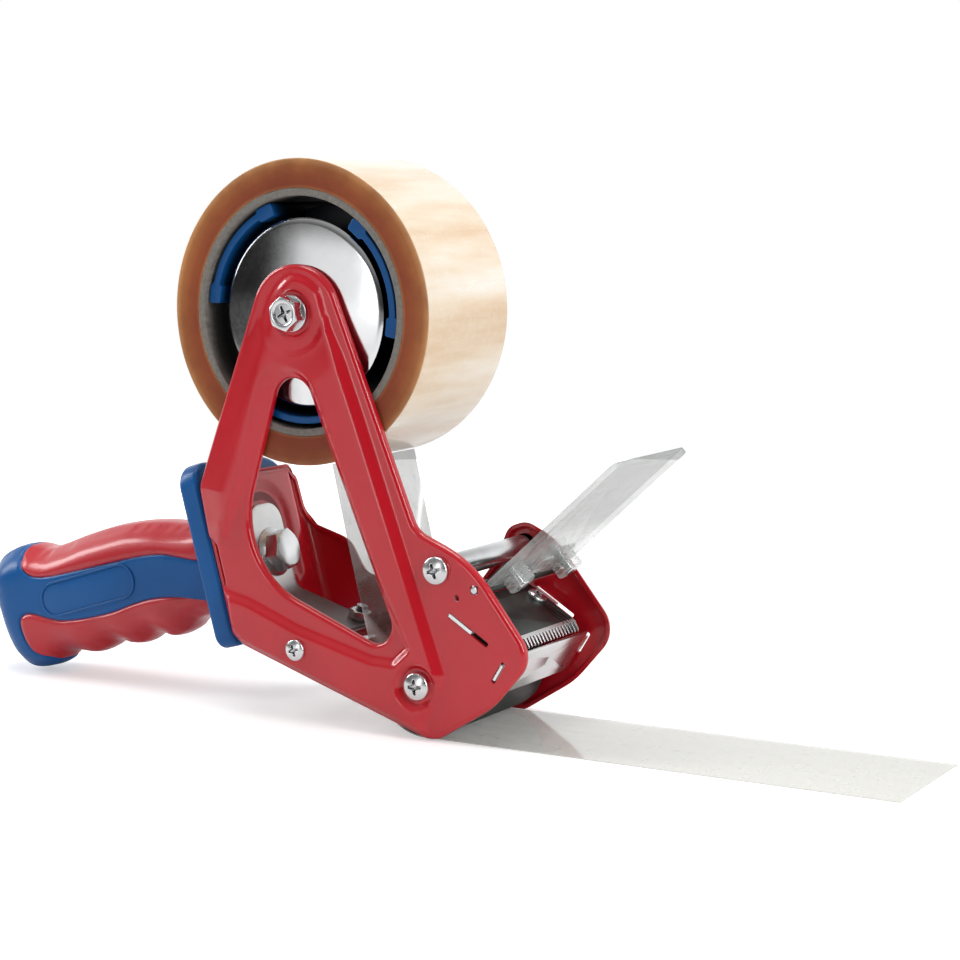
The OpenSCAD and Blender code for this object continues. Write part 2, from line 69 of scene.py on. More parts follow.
ROLLER, ROLLER_R = centre("roller_sleeve"), radius("roller_sleeve")
ROLL, ROLL_R = centre("tape_roll"), radius("tape_roll")
CORE_R, TAPE_HALF = radius("tape_core"), high("tape_roll").y
UPPER, REAR, PIN = centre("upper_spacer_rod"), centre("rear_spacer_rod"), centre("flap_pin")
OUTER = high("far_side_plate").y
PRESS = -low("near_side_plate").y - OUTER
SHEET = 1.5  # thickness of the red plates
TILT = math.radians(15.2)
WASHER_S = -2.36  # from the washer's middle to the web's rear face
WEB_X = centre("handle_washer").x + WASHER_S * math.cos(TILT)
WEB_Z = centre("handle_washer").z + WASHER_S * math.sin(TILT)


def axes(origin, u, v, w):
    """Frame whose local u, v, w run along three world directions, from an origin in mm."""
    m = Matrix.Identity(4)
    for i, column in enumerate((u, v, w, origin)):
        for k in range(3):
            m[k][i] = column[k]
    return m


def side_axes(x, z, degrees, flip=1):
    """u along a direction in the X-Z plane, v at its left, w across the dispenser."""
    a = math.radians(degrees)
    u = (math.cos(a), 0, math.sin(a))
    return axes((x, 0, z), u, (-flip * math.sin(a), 0, flip * math.cos(a)), (0, 1, 0))


def turned(m, order):
    """The same frame with its axes in another order, such as 'vwu'."""
    cols = {c: [m[k][i] for k in range(3)] for i, c in enumerate("uvw")}
    return axes([m[k][3] for k in range(3)], *[cols[c] for c in order])


def shifted(m, u=0, v=0, w=0):
    return m @ Matrix.Translation((u, v, w))


ACROSS = axes((0, 0, 0), (1, 0, 0), (0, 0, 1), (0, 1, 0))
ROLL_AXIS, PIN_AXIS = shifted(ACROSS, ROLL.x, ROLL.z), shifted(ACROSS, PIN.x, PIN.z)
# s away from the nose, h up the rear web, w across
WEB = side_axes(WEB_X, WEB_Z, 180 + math.degrees(TILT), flip=-1)
WEB_FACE = turned(WEB, "wvu")
BOLT_HOLE_R = 4.05
HOLDER = side_axes(12, 42, -31.6)
FLAP = side_axes(PIN.x, PIN.z, 42)
FRONT = side_axes(32.7, 29.5, 180 + 58.3)


def web_point(s, h):
    """The x and z of a place in the WEB frame."""
    p = WEB @ Vector((s, h, 0))
    return p.x, p.z


# ---- outlines
def unit(v):
    return v / np.maximum(np.linalg.norm(v, axis=-1, keepdims=True), 1e-9)


def rounded(corners):
    """Closed outline through corners (x, y, radius), each rounded by an arc in steps of at most 6 degrees."""
    points, n = [], len(corners)
    for i in range(n):
        a, b, c = (np.array(corners[(i + k) % n][:2], float) for k in (-1, 0, 1))
        r = corners[i][2]
        u, v = unit(a - b), unit(c - b)
        half = math.acos(np.clip(u @ v, -1, 1)) / 2
        k = unit(u + v)
        middle = b + k * r / math.sin(half)
        side = np.sign(u[0] * v[1] - u[1] * v[0])
        start, sweep = math.degrees(math.atan2(-k[1], -k[0])), 90 - math.degrees(half)
        count = max(2, math.ceil(sweep / 6))
        for j in range(-count, count + 1):
            t = math.radians(start - side * sweep * j / count)
            points.append(middle + r * np.array([math.cos(t), math.sin(t)]))
    return np.array(points)


def box_outline(u0, v0, u1, v1, r0, r1=None):
    """A rectangle with its corners at v0 rounded by r0 and those at v1 by r1."""
    r1 = r0 if r1 is None else r1
    return rounded([(u0, v0, r0), (u1, v0, r0), (u1, v1, r1), (u0, v1, r1)])


def circle(r, count=96, at=(0, 0)):
    t = np.arange(count) * 2 * math.pi / count
    return np.stack([at[0] + r * np.cos(t), at[1] + r * np.sin(t)], 1)


def spline(points, closed):
    """Smooth curve through points."""
    p, out, n = np.array(points, float), [], len(points)
    for i in range(n if closed else n - 1):
        a, b, c, d = (p[(i + k) % n if closed else min(max(i + k, 0), n - 1)] for k in (-1, 0, 1, 2))
        for t in np.arange(8) / 8:
            out.append((2 * b + (c - a) * t + (2 * a - 5 * b + 4 * c - d) * t * t
                        + (3 * b - a - 3 * c + d) * t ** 3) / 2)
    return np.array(out if closed else out + [p[-1]])


def even(loop, spacing, closed=True):
    """The same line with evenly spaced points."""
    p = np.vstack([loop, loop[:1]]) if closed else loop
    length = np.concatenate([[0], np.cumsum(np.linalg.norm(np.diff(p, axis=0), axis=1))])
    count = max(3, int(round(length[-1] / spacing)))
    at = np.linspace(0, length[-1], count + 1)
    out = np.stack([np.interp(at, length, p[:, k]) for k in (0, 1)], 1)
    return out[:-1] if closed else out


def area(loop):
    x, y = loop[:, 0], loop[:, 1]
    return 0.5 * np.sum(x * np.roll(y, -1) - y * np.roll(x, -1))


def turned_way(loop, positive):
    return loop if (area(loop) > 0) == positive else loop[::-1]


def moved_in(loop, d):
    """Each point moved by d to the left of the line's direction."""
    a, b = unit(loop - np.roll(loop, 1, 0)), unit(np.roll(loop, -1, 0) - loop)
    left = np.stack([-a[:, 1] - b[:, 1], a[:, 0] + b[:, 0]], 1)
    scale = 1 / np.maximum(1 + np.sum(a * b, 1), 0.35)
    return loop + d * left * scale[:, None]


def distance(points, line, closed=True):
    """Distance of each point from a line."""
    a = line if closed else line[:-1]
    b = np.roll(line, -1, 0) if closed else line[1:]
    best = np.full(len(points), 1e9)
    for i in range(len(a)):
        ab, ap = b[i] - a[i], points - a[i]
        t = np.clip(ap @ ab / max(ab @ ab, 1e-12), 0, 1)
        best = np.minimum(best, np.sum((ap - t[:, None] * ab) ** 2, 1))
    return np.sqrt(best)


def inside(points, loop):
    x, y = points[:, 0], points[:, 1]
    result = np.zeros(len(points), bool)
    for (ax, ay), (bx, by) in zip(loop, np.roll(loop, -1, 0)):
        if ay != by:
            result ^= ((ay > y) != (by > y)) & (x < (bx - ax) * (y - ay) / (by - ay) + ax)
    return result


def nearest(points, lines):
    return np.minimum.reduce([distance(points, line) for line in lines])


def within(points, loops):
    """Inside the first loop and outside the others."""
    result = inside(points, loops[0])
    for hole in loops[1:]:
        result &= ~inside(points, hole)
    return result


def signed(points, loop):
    """Distance from the loop, positive inside it."""
    return np.where(inside(points, loop), 1, -1) * distance(points, loop)


def ease(t):
    t = np.clip(t, 0, 1)
    return t * t * (3 - 2 * t)


def bend(t, k=0.09):
    """A ramp from 0 to 1 with rounded ends."""
    t = np.asarray(t, float)
    return k * (np.logaddexp(0, t / k) - np.logaddexp(0, (t - 1) / k))


# ---- solids: each returns (points in mm, faces)
def placed(points, m):
    p = np.asarray(points, float)
    a = np.array(m)
    return p @ a[:3, :3].T + a[:3, 3]


def joined(*solids):
    """Several solids as one."""
    points, faces, base = [], [], 0
    for p, f in solids:
        points.append(p)
        faces += [tuple(i + base for i in face) for face in f]
        base += len(p)
    return np.vstack(points), faces


def strips(rows, n, first=0, around=True, closed=False):
    """Faces between rows of n points, numbered from first; closed joins the last row to the first."""
    faces = []
    for k in range(rows if closed else rows - 1):
        a, b = first + k * n, first + (k + 1) % rows * n
        for i in range(n if around else n - 1):
            j = (i + 1) % n
            faces.append((a + i, a + j, b + j, b + i))
    return faces


def prism(outer, holes, w0, w1, bevel, m, steps=3):
    """An outline with holes, extruded along w, with rounded edges."""
    loops = [turned_way(np.asarray(outer), True)] + [turned_way(np.asarray(h), False) for h in holes]
    quarter = np.linspace(0, math.pi / 2, steps + 1)
    levels = [(bevel * (1 - math.sin(a)), w0 + bevel * (1 - math.cos(a))) for a in quarter]
    levels += [(bevel * (1 - math.sin(a)), w1 - bevel * (1 - math.cos(a))) for a in quarter[::-1]]
    points, faces, firsts = [], [], []
    for loop in loops:
        n, first = len(loop), sum(len(p) for p in points)
        firsts.append((first, n))
        points += [np.column_stack([moved_in(loop, d), np.full(n, w)]) for d, w in levels]
        faces += strips(len(levels), n, first)
    points = np.vstack(points)
    for level in (0, len(levels) - 1):
        ends = [[first + level * n + i for i in range(n)] for first, n in firsts]
        index = sum(ends, [])
        polys = [[Vector(points[i]) for i in end] for end in ends]
        faces += [tuple(index[i] for i in t) for t in tessellate_polygon(polys)]
    return placed(points, m), faces


def lathe(profile, m, steps, closed=False):
    """A profile of (radius, w) turned about the w axis. A radius of 0 closes it at a pole."""
    points, faces, rows = [], [], []
    t = np.arange(steps) * 2 * math.pi / steps
    for r, w in profile:
        pole = r < 1e-6
        rows.append([len(points) + (0 if pole else i) for i in range(steps)])
        points += [(0, 0, w)] if pole else [(r * math.cos(a), r * math.sin(a), w) for a in t]
    for a, b in zip(rows, rows[1:] + (rows[:1] if closed else [])):
        for i in range(steps):
            j = (i + 1) % steps
            face = tuple(dict.fromkeys((a[i], a[j], b[j], b[i])))
            if len(face) > 2:
                faces.append(face)
    return placed(points, m), faces


def ring(r_in, r_out, w0, w1, edge, m, steps=64, rounds=3):
    """A ring with rounded edges."""
    profile = []
    for quarter, (r, w) in enumerate(((r_out - edge, w0 + edge), (r_out - edge, w1 - edge),
                                      (r_in + edge, w1 - edge), (r_in + edge, w0 + edge))):
        for t in np.linspace(0, math.pi / 2, rounds + 1):
            b = t - math.pi / 2 + quarter * math.pi / 2
            profile.append((r + edge * math.cos(b), w + edge * math.sin(b)))
    return lathe(profile, m, steps, True)


def rod(r, w0, w1, edge, m, steps=64):
    return lathe([(0, w0), (r - edge, w0), (r - edge * 0.3, w0 + edge * 0.3), (r, w0 + edge),
                  (r, w1 - edge), (r - edge * 0.3, w1 - edge * 0.3), (r - edge, w1), (0, w1)], m, steps)


def thread(r, w0, w1, pitch, m):
    """A bar with thread crests along it."""
    count = int(abs(w1 - w0) / pitch * 4)
    profile = [(0, w0), (r - 0.6, w0)]
    for i in range(count + 1):
        profile.append((r - 0.28 * (1 - math.cos(i * math.pi / 2)), w0 + (w1 - w0) * (0.04 + 0.96 * i / count)))
    return lathe(profile + [(0, w1)], m, 48)


def screw_head(r, h, m, recess=0.56, dome=0.42):
    """Pan head with a cross recess, from w = 0 up. Its underside is open at w = 0 and closed by a disc."""
    steps = 120
    t = np.arange(steps) * 2 * math.pi / steps
    rows = []
    for q in [0.02 + 0.9 * i / 24 for i in range(25)] + [0.96, 0.985, 1.0]:
        u, v = q * np.cos(t), q * np.sin(t)
        top = 1 - dome * q * q
        if q > 0.93:
            top -= 0.16 * ((q - 0.92) / 0.08) ** 2
        arm, long_way = np.minimum(np.abs(u), np.abs(v)), np.maximum(np.abs(u), np.abs(v))
        taper = 0.15 - 0.07 * q / recess
        cut = ease((taper - arm) / 0.045 + 0.5) * ease((recess - long_way) / 0.06)
        centre_cut = ease((0.24 - q) / 0.05 + 0.5)
        depth = np.maximum(cut, centre_cut) * (0.75 - 0.45 * q / recess)
        rows.append(np.column_stack([r * u, r * v, h * (top - np.maximum(depth, 0))]))
    rows.append(np.column_stack([r * np.cos(t), r * np.sin(t), np.full(steps, h * 0.12)]))
    rows.append(np.column_stack([r * 0.95 * np.cos(t), r * 0.95 * np.sin(t), np.zeros(steps)]))
    points = np.vstack(rows + [[[0, 0, h * 0.25]], [[0, 0, 0]]])
    faces = strips(len(rows), steps)
    top, bottom, last = len(points) - 2, len(points) - 1, (len(rows) - 1) * steps
    for i in range(steps):
        j = (i + 1) % steps
        faces += [(i, j, top), (last + i, last + j, bottom)]
    return placed(points, m), faces


def hexagon(af, h, bore, m, turn=0, chamfer=0.96, under=False):
    """Hexagonal nut or head from w = 0 to h, with the turned chamfer on its corners."""
    steps = 96
    rows = []
    t = np.arange(steps) * 2 * math.pi / steps
    fold = np.abs((np.degrees(t) + 30) % 60 - 30)
    flat = af / 2 / np.cos(np.radians(fold))
    face = np.minimum(flat, af / 2 * chamfer)
    drop = np.maximum(flat - af / 2 * chamfer, 0) * 0.58
    outside = [(face, 0), (flat, drop if under else np.zeros(steps)), (flat, h - drop), (face, h)]
    for r, w in [(bore, 0), *outside, (bore + 0.5, h), (bore, h - 0.4)] if bore else outside:
        r = np.broadcast_to(r, steps)
        rows.append(np.column_stack([r * np.cos(t + turn), r * np.sin(t + turn), np.broadcast_to(w, steps)]))
    n = len(rows)
    faces = strips(n, steps, closed=bool(bore))
    if not bore:
        faces += [tuple(range(steps)), tuple((n - 1) * steps + i for i in range(steps))]
    return placed(np.vstack(rows), m), faces


def tube(path, r, around=10):
    """Round wire along a path, with closed ends."""
    tangent = unit(np.gradient(path, axis=0))
    side = np.cross(tangent[0], (0.31, 0.52, 0.79))
    points = []
    for c, d in zip(path, tangent):
        side = unit(side - d * (side @ d))
        other = np.cross(d, side)
        for k in range(around):
            a = 2 * math.pi * k / around
            points.append(c + r * (math.cos(a) * side + math.sin(a) * other))
    last = (len(path) - 1) * around
    ends = [tuple(range(around)), tuple(last + k for k in range(around))]
    return np.array(points), strips(len(path), around) + ends


def helix(r, w0, w1, turns, m, closed_ends=0.0):
    """A coil's line, its pitch falling to 0 over this share of both ends."""
    count = int(turns * 28)
    t = np.linspace(0, 1, count + 1)
    a = t * turns * 2 * math.pi
    rise = np.clip((t - closed_ends) / (1 - 2 * closed_ends), 0, 1)
    return placed(np.column_stack([r * np.cos(a), r * np.sin(a), w0 + (w1 - w0) * rise]), m)


# ---- sheet and moulded surfaces from a plan
def plan(loops, spacing, rings, guides=()):
    """Triangulates the region inside loops[0] and outside the other loops, each given with its spacing.
    rings are distances from the loops and guides that get their own rows of points."""
    loops = [turned_way(even(np.asarray(l), s), i == 0) for i, (l, s) in enumerate(loops)]
    free = []
    for line, offsets in [(l, rings) for l in loops] + list(guides):
        for d in offsets:
            row = moved_in(line, d)
            free.append(row[distance(row, line) > abs(d) * 0.93])
    start, stop = loops[0].min(0), loops[0].max(0)
    gx, gy = np.meshgrid(np.arange(start[0], stop[0], spacing), np.arange(start[1], stop[1], spacing * 0.866))
    gx[1::2] += spacing / 2
    grid = np.column_stack([gx.ravel(), gy.ravel()])
    grid = grid[nearest(grid, loops) > max(rings) + spacing * 0.45]
    for line, offsets in guides:
        grid = grid[distance(grid, line) > max(abs(d) for d in offsets) + spacing * 0.4]
    free = np.vstack(free + [grid])
    free = free[within(free, loops) & (nearest(free, loops) > 0.04)]
    points, edges = [], []
    for l in loops:
        base = len(points)
        points += [Vector(p) for p in l]
        edges += [(base + i, base + (i + 1) % len(l)) for i in range(len(l))]
    points += [Vector(p) for p in free]
    out = delaunay_2d_cdt(points, edges, [], 0, 1e-5)
    p = np.array([tuple(v) for v in out[0]])
    tri = np.array([f for f in out[2] if len(f) == 3])
    return p, tri[within(p[tri].mean(1), loops)], loops


def edges_of(tri):
    return np.vstack([tri[:, [0, 1]], tri[:, [1, 2]], tri[:, [2, 0]]])


def border_edges(tri):
    """Edges used by one triangle, in its direction."""
    edges = [tuple(e) for e in edges_of(tri).tolist()]
    seen = set(edges)
    return [(a, b) for a, b in edges if (b, a) not in seen]


def two_sided(front, back, tri):
    """Two skins over the same triangles, joined along their borders."""
    n, faces = len(front), tri.tolist()
    faces += [[i + n for i in t[::-1]] for t in faces]
    return np.vstack([front, back]), faces + [(b, a, a + n, b + n) for a, b in border_edges(tri)]


def smoothed(values, tri, fixed, rounds):
    """Averages a value over neighbouring points."""
    e = np.unique(np.sort(edges_of(tri), 1), axis=0)
    count = np.bincount(e.ravel(), minlength=len(values))
    for _ in range(rounds):
        total = np.bincount(e[:, 0], values[e[:, 1]], len(values))
        total += np.bincount(e[:, 1], values[e[:, 0]], len(values))
        values = np.where(fixed | (count == 0), values, (values + total / np.maximum(count, 1)) / 2)
    return values


def pressed(loops, rolled, height, place, roll, rim, spacing, guides=()):
    """A pressed sheet's outer skin: its height field, with the rolled loops turned back by a radius and a rim."""
    rings = [roll * (1 - math.cos(math.radians(a))) for a in (18, 36, 54, 72, 90)]
    p, tri, loops = plan(loops, spacing, rings, guides)
    away = nearest(p, [loops[i] for i in rolled])
    d = np.clip(away, 0, roll)
    h = height(p) - (roll - np.sqrt(roll ** 2 - (roll - d) ** 2))
    points = list(place(p[:, 0], p[:, 1], h))
    faces, lower = tri.tolist(), {}
    for a, b in border_edges(tri):
        if away[a] > 1e-3 or away[b] > 1e-3:
            continue
        for i in (a, b):
            if i not in lower:
                lower[i] = len(points)
                points.append(place(p[i:i + 1, 0], p[i:i + 1, 1], np.array([-rim]))[0])
        faces.append((b, a, lower[a], lower[b]))
    return np.array(points), faces


def sheet(loops, spacing, thickness, edge, place):
    """A flat pattern with rounded edges, bent into place by its middle surface."""
    p, tri, loops = plan(loops, spacing, (edge * 0.3, edge))
    d = np.minimum(nearest(p, loops), edge)
    h = thickness / 2 - edge + np.sqrt(edge ** 2 - (edge - d) ** 2)
    return two_sided(place(p[:, 0], p[:, 1], h), place(p[:, 0], p[:, 1], -h), tri)


# ---- pieces


def piece(name, solid, material, body, *nodes, sharp=32):
    """A finished object that rides on a body and stands for CAD nodes."""
    mesh = bpy.data.meshes.new(name)
    mesh.from_pydata([tuple(p) for p in np.asarray(solid[0]) * MM], [], solid[1])
    bm = bmesh.new()
    bm.from_mesh(mesh)
    bmesh.ops.remove_doubles(bm, verts=bm.verts, dist=1e-6)
    bmesh.ops.recalc_face_normals(bm, faces=bm.faces)
    for f in bm.faces:
        f.smooth = True
    bm.to_mesh(mesh)
    bm.free()
    mesh.set_sharp_from_angle(angle=math.radians(sharp))
    obj = bpy.data.objects.new(name, mesh)
    bpy.context.scene.collection.objects.link(obj)
    mesh.materials.append(MATERIALS[material]())
    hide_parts(*nodes)
    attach(obj, body)
    return obj


def simple(node, kind, solid, material, body="root", sharp=32):
    """A piece that stands for one node and is named after it."""
    return piece(f"{node}_{kind}", solid, material, body, node, sharp=sharp)


def thicken(obj, thickness, sharp=32, offset=-1):
    """Gives an open skin its sheet thickness, inwards."""
    mod = obj.modifiers.new("sheet", "SOLIDIFY")
    mod.thickness = thickness * MM
    mod.offset = offset
    mod.use_even_offset = False
    graph = bpy.context.evaluated_depsgraph_get()
    mesh = bpy.data.meshes.new_from_object(obj.evaluated_get(graph))
    obj.modifiers.clear()
    obj.data = mesh
    mesh.set_sharp_from_angle(angle=math.radians(sharp))


# ---- materials
class Graph:
    """A short way to write the nodes of a new material or world."""

    def __init__(self, name, kind="materials", place="Object"):
        self.owner = getattr(bpy.data, kind).new(name)
        self.owner.use_nodes = True
        self.tree = self.owner.node_tree
        self.place = self.node("ShaderNodeTexCoord").outputs[place]

    def node(self, kind, **inputs):
        n = self.tree.nodes.new(kind)
        for key, value in inputs.items():
            self.set(n.inputs[key.replace("_", " ")], value)
        return n

    def set(self, socket, value):
        if isinstance(value, bpy.types.NodeSocket):
            self.tree.links.new(value, socket)
        elif hasattr(socket.default_value, "__len__") and len(socket.default_value) == 4 and len(value) == 3:
            socket.default_value = (*value, 1)
        else:
            socket.default_value = value

    def stretched(self, x, y, z):
        n = self.node("ShaderNodeMapping", Vector=self.place)
        n.inputs["Scale"].default_value = (x, y, z)
        return n.outputs[0]

    def noise(self, scale, detail=3, rough=0.55, place=None):
        return self.node("ShaderNodeTexNoise", Vector=place or self.place, Scale=scale, Detail=detail,
                         Roughness=rough).outputs["Fac"]

    def voronoi(self, scale):
        return self.node("ShaderNodeTexVoronoi", Vector=self.place, Scale=scale).outputs["Distance"]

    def math(self, operation, a, b=0.5, c=0.5):
        n = self.tree.nodes.new("ShaderNodeMath")
        n.operation = operation
        for socket, value in zip(n.inputs, (a, b, c)):
            self.set(socket, value)
        return n.outputs[0]

    def times(self, a, b):
        return self.math("MULTIPLY", a, b)

    def minus(self, a, b):
        return self.math("SUBTRACT", a, b)

    def scaled(self, value, factor, start):
        return self.math("MULTIPLY_ADD", value, factor, start)

    def between(self, value, a, b):
        """Maps 0..1 to a..b."""
        return self.scaled(value, b - a, a)

    def length(self, a, b):
        return self.math("SQRT", self.math("ADD", self.times(a, a), self.times(b, b)))

    def ramp(self, value, *stops):
        """Colours or greys along a value: (position, colour)."""
        n = self.node("ShaderNodeValToRGB", Fac=value)
        elements = n.color_ramp.elements
        while len(elements) < len(stops):
            elements.new(0.5)
        for e, (at, colour) in zip(elements, stops):
            e.position = at
            e.color = (colour,) * 3 + (1,) if isinstance(colour, (int, float)) else (*colour, 1)
        return n.outputs["Color"]

    def rise(self, value, start, stop):
        """0 up to start, 1 from stop on."""
        return self.ramp(value, (start, 0.0), (stop, 1.0))

    def fall(self, value, start, stop):
        return self.ramp(value, (start, 1.0), (stop, 0.0))

    def cloudy(self, scale, detail, dark, light):
        return self.ramp(self.noise(scale, detail), (0.3, dark), (0.7, light))

    def mix(self, factor, a, b, mode="MIX"):
        n = self.tree.nodes.new("ShaderNodeMix")
        n.data_type = "RGBA"
        n.blend_type = mode
        for index, value in ((0, factor), (6, a), (7, b)):
            self.set(n.inputs[index], value)
        return n.outputs[2]

    def over(self, colour, other, mask, share):
        """Another colour laid over one by a share of a mask."""
        return self.mix(self.times(mask, share), colour, other)

    def bump(self, height, strength, reach, normal=None):
        n = self.node("ShaderNodeBump", Height=height, Strength=strength, Distance=reach)
        if normal:
            self.set(n.inputs["Normal"], normal)
        return n.outputs[0]

    def separated(self, vector=None):
        """The x, y and z of a vector, or of the place in metres."""
        return self.node("ShaderNodeSeparateXYZ", Vector=vector or self.place).outputs

    def from_axis(self):
        """The distance from the roll's axis, in metres."""
        x, _, z = self.separated()
        return self.length(self.minus(x, ROLL.x * MM), self.minus(z, ROLL.z * MM))

    def edge(self, r):
        n = self.node("ShaderNodeBevel", Radius=r * MM)
        n.samples = 4
        return n.outputs[0]

    def recess_shade(self, reach):
        """0 deep inside a recess of this size in mm, 1 in the open; a mask for painted shade."""
        n = self.node("ShaderNodeAmbientOcclusion", Distance=reach * MM)
        n.samples, n.only_local = 6, True
        return self.rise(n.outputs["AO"], 0.32, 0.62)

    def finish(self, **inputs):
        shader = self.tree.nodes["Principled BSDF"]
        for key, value in inputs.items():
            self.set(shader.inputs[key.replace("_", " ")], value)
        return self.owner


def red_enamel():
    return enamel(Graph("red_enamel"))


def red_web():
    """The enamel with painted shade, darker and less glossy, on the pocket's slope round the strap's head in the
    web.
    """
    g = Graph("red_web")
    x, y, z = g.separated()
    x, z = g.minus(x, WEB_X * MM), g.minus(z, WEB_Z * MM)
    sine, cosine = math.sin(TILT), math.cos(TILT)
    h = g.math("ADD", g.times(x, -sine), g.times(z, cosine))
    s = g.math("ADD", g.times(x, cosine), g.times(z, sine))
    side = g.math("MAXIMUM", g.minus(g.math("ABSOLUTE", y), 0.0031), 0)
    above = g.math("MAXIMUM", g.minus(h, 0.0117), 0)
    # Painted shade: a band on the pocket's slope, on the web's face and in its upper part.
    band = g.ramp(g.times(g.length(side, above), 50), (0.33, 0.0), (0.36, 1.0), (0.485, 1.0), (0.51, 0.0))
    flat = g.math("LESS_THAN", g.math("ABSOLUTE", s), 0.004)
    upper = g.rise(g.times(h, 50), 0.0, 0.25)
    return enamel(g, g.times(g.times(band, flat), upper))


def enamel(g, shade=None):
    """Glossy red paint, with painted shade, dark and less glossy, where shade is 1."""
    colour = g.cloudy(28, 4, (0.52, 0.004, 0.013), (0.59, 0.006, 0.018))
    specks = g.rise(g.noise(900, 2), 0.72, 0.8)
    colour = g.over(colour, (0.30, 0.002, 0.006), specks, 0.12)
    gloss = 1.0
    # Painted shade: darker red and less coat where shade is 1.
    if shade:
        colour = g.mix(shade, colour, (0.20, 0.002, 0.006))
        gloss = g.between(shade, 1.0, 0.3)
    peel = g.bump(g.noise(420, 2, 0.4), 0.03, 0.0003)
    return g.finish(Base_Color=colour, Roughness=g.between(g.noise(60, 3), 0.3, 0.42), Normal=peel,
                    Specular_IOR_Level=0.25, Coat_Weight=gloss, Coat_Roughness=0.035, Coat_Normal=peel)


def metal(name, dark, light, rough, grain=None, bump_scale=700, bump=0.05, tips=None, lower=None, ahead=None):
    """Metal with a cloudy colour, a varying roughness and fine grain; tips beyond a width and teeth ahead of a
    line stay bright, what lies lower than a height gets a painted dark reflection, and recesses get painted shade."""
    g = Graph(name)
    colour = g.cloudy(70, 5, dark, light)
    fine = g.noise(bump_scale, 4, 0.6, grain and g.stretched(*grain))
    roughness = g.between(g.noise(140, 4), *rough)
    along, across, height = g.separated()
    if tips or ahead:
        # Near white on the tips beyond the width and on the teeth ahead of the line.
        near_white_part = g.math("GREATER_THAN", g.math("ABSOLUTE", across) if tips else along, tips or ahead)
        colour = g.mix(near_white_part, colour, (0.90, 0.91, 0.92))
    # Painted reflection: a dark reddish colour below this height, where the metal mirrors the red plates.
    if lower:
        painted_reflection_below = g.fall(g.times(height, 10), lower * 10, lower * 10 + 0.06)
        colour = g.over(colour, (0.10, 0.06, 0.06), painted_reflection_below, 0.75)
    # Painted shade: near black deep in recesses, such as screw crosses and narrow gaps.
    colour = g.mix(g.recess_shade(1.6), (0.012, 0.012, 0.013), colour)
    return g.finish(Base_Color=colour, Metallic=1.0, Roughness=roughness,
                    Normal=g.bump(fine, bump, 0.0001, g.edge(0.12)))


ROLLED = (1, 0.15, 1)


def zinc_plate():
    return metal("zinc_plate", (0.62, 0.63, 0.64), (0.82, 0.83, 0.84), (0.16, 0.34))


def zinc_sheet():
    # The strap's lower leg gets the painted dark reflection.
    return metal("zinc_sheet", (0.60, 0.61, 0.61), (0.80, 0.81, 0.81), (0.36, 0.5), None, 500, 0.08, lower=0.037)


def plain_steel():
    return metal("plain_steel", (0.42, 0.43, 0.45), (0.60, 0.61, 0.63), (0.22, 0.38))


def dark_zinc():
    return metal("dark_zinc", (0.055, 0.068, 0.064), (0.105, 0.125, 0.118), (0.36, 0.5), ROLLED, tips=0.0264)


def blade_steel():
    return metal("blade_steel", (0.10, 0.122, 0.115), (0.17, 0.20, 0.19), (0.34, 0.5), ROLLED, ahead=0.0279)


def pin_steel():
    return metal("pin_steel", (0.62, 0.63, 0.64), (0.82, 0.83, 0.84), (0.16, 0.34))


def bright_plate():
    return metal("bright_plate", (0.78, 0.79, 0.80), (0.90, 0.90, 0.91), (0.16, 0.28), (1, 0.08, 1), 900)


def chrome_dish():
    g = Graph("chrome_dish")
    colour = g.cloudy(50, 3, (0.80, 0.81, 0.82), (0.92, 0.92, 0.93))
    patches = g.ramp(g.noise(420, 6, 0.85), (0.4, 0.35), (0.6, 1.0))
    # Painted reflection: the disc darker towards its left, and mottled there, where it mirrors a dark part of the
    # room.
    side = g.ramp(g.scaled(g.separated()[0], 16, 1.25), (0.12, 0.42), (0.36, 0.7), (0.5, 1.0))
    painted_reflection_mottle = g.mix(side, patches, (1, 1, 1))
    colour = g.mix(1.0, g.mix(1.0, colour, side, "MULTIPLY"), painted_reflection_mottle, "MULTIPLY")
    normal = g.bump(g.noise(2600, 3, 0.7), 0.10, 0.00005, g.bump(g.noise(26, 2), 0.12, 0.002))
    return g.finish(Base_Color=colour, Metallic=1.0, Roughness=g.between(g.noise(90, 3), 0.08, 0.2), Normal=normal)


def roller_rubber():
    g = Graph("roller_rubber")
    colour = g.cloudy(45, 4, (0.026, 0.031, 0.029), (0.046, 0.053, 0.050))
    dust = g.rise(g.noise(500, 3), 0.62, 0.75)
    return g.finish(Base_Color=g.over(colour, (0.16, 0.165, 0.16), dust, 0.25),
                    Roughness=g.between(g.noise(80, 3), 0.36, 0.55), Normal=g.bump(g.noise(1500, 3), 0.16, 0.0001))


def plastic(name, dark, light, rough, scale, bump):
    """Moulded plastic with a fine moulded texture."""
    g = Graph(name)
    return g.finish(Specular_IOR_Level=0.35, Base_Color=g.cloudy(35, 4, dark, light), IOR=1.46,
                    Roughness=g.between(g.noise(120, 3), *rough),
                    Normal=g.bump(g.voronoi(scale), bump, 0.00012, g.edge(0.2)))


def black_plastic():
    return plastic("black_plastic", (0.012, 0.013, 0.014), (0.022, 0.023, 0.025), (0.34, 0.48), 1500, 0.12)


def white_plastic():
    return plastic("white_plastic", (0.62, 0.61, 0.57), (0.70, 0.69, 0.65), (0.38, 0.5), 1300, 0.08)


def blue_plastic():
    return plastic("blue_plastic", (0.002, 0.085, 0.29), (0.004, 0.100, 0.33), (0.26, 0.38), 1700, 0.10)


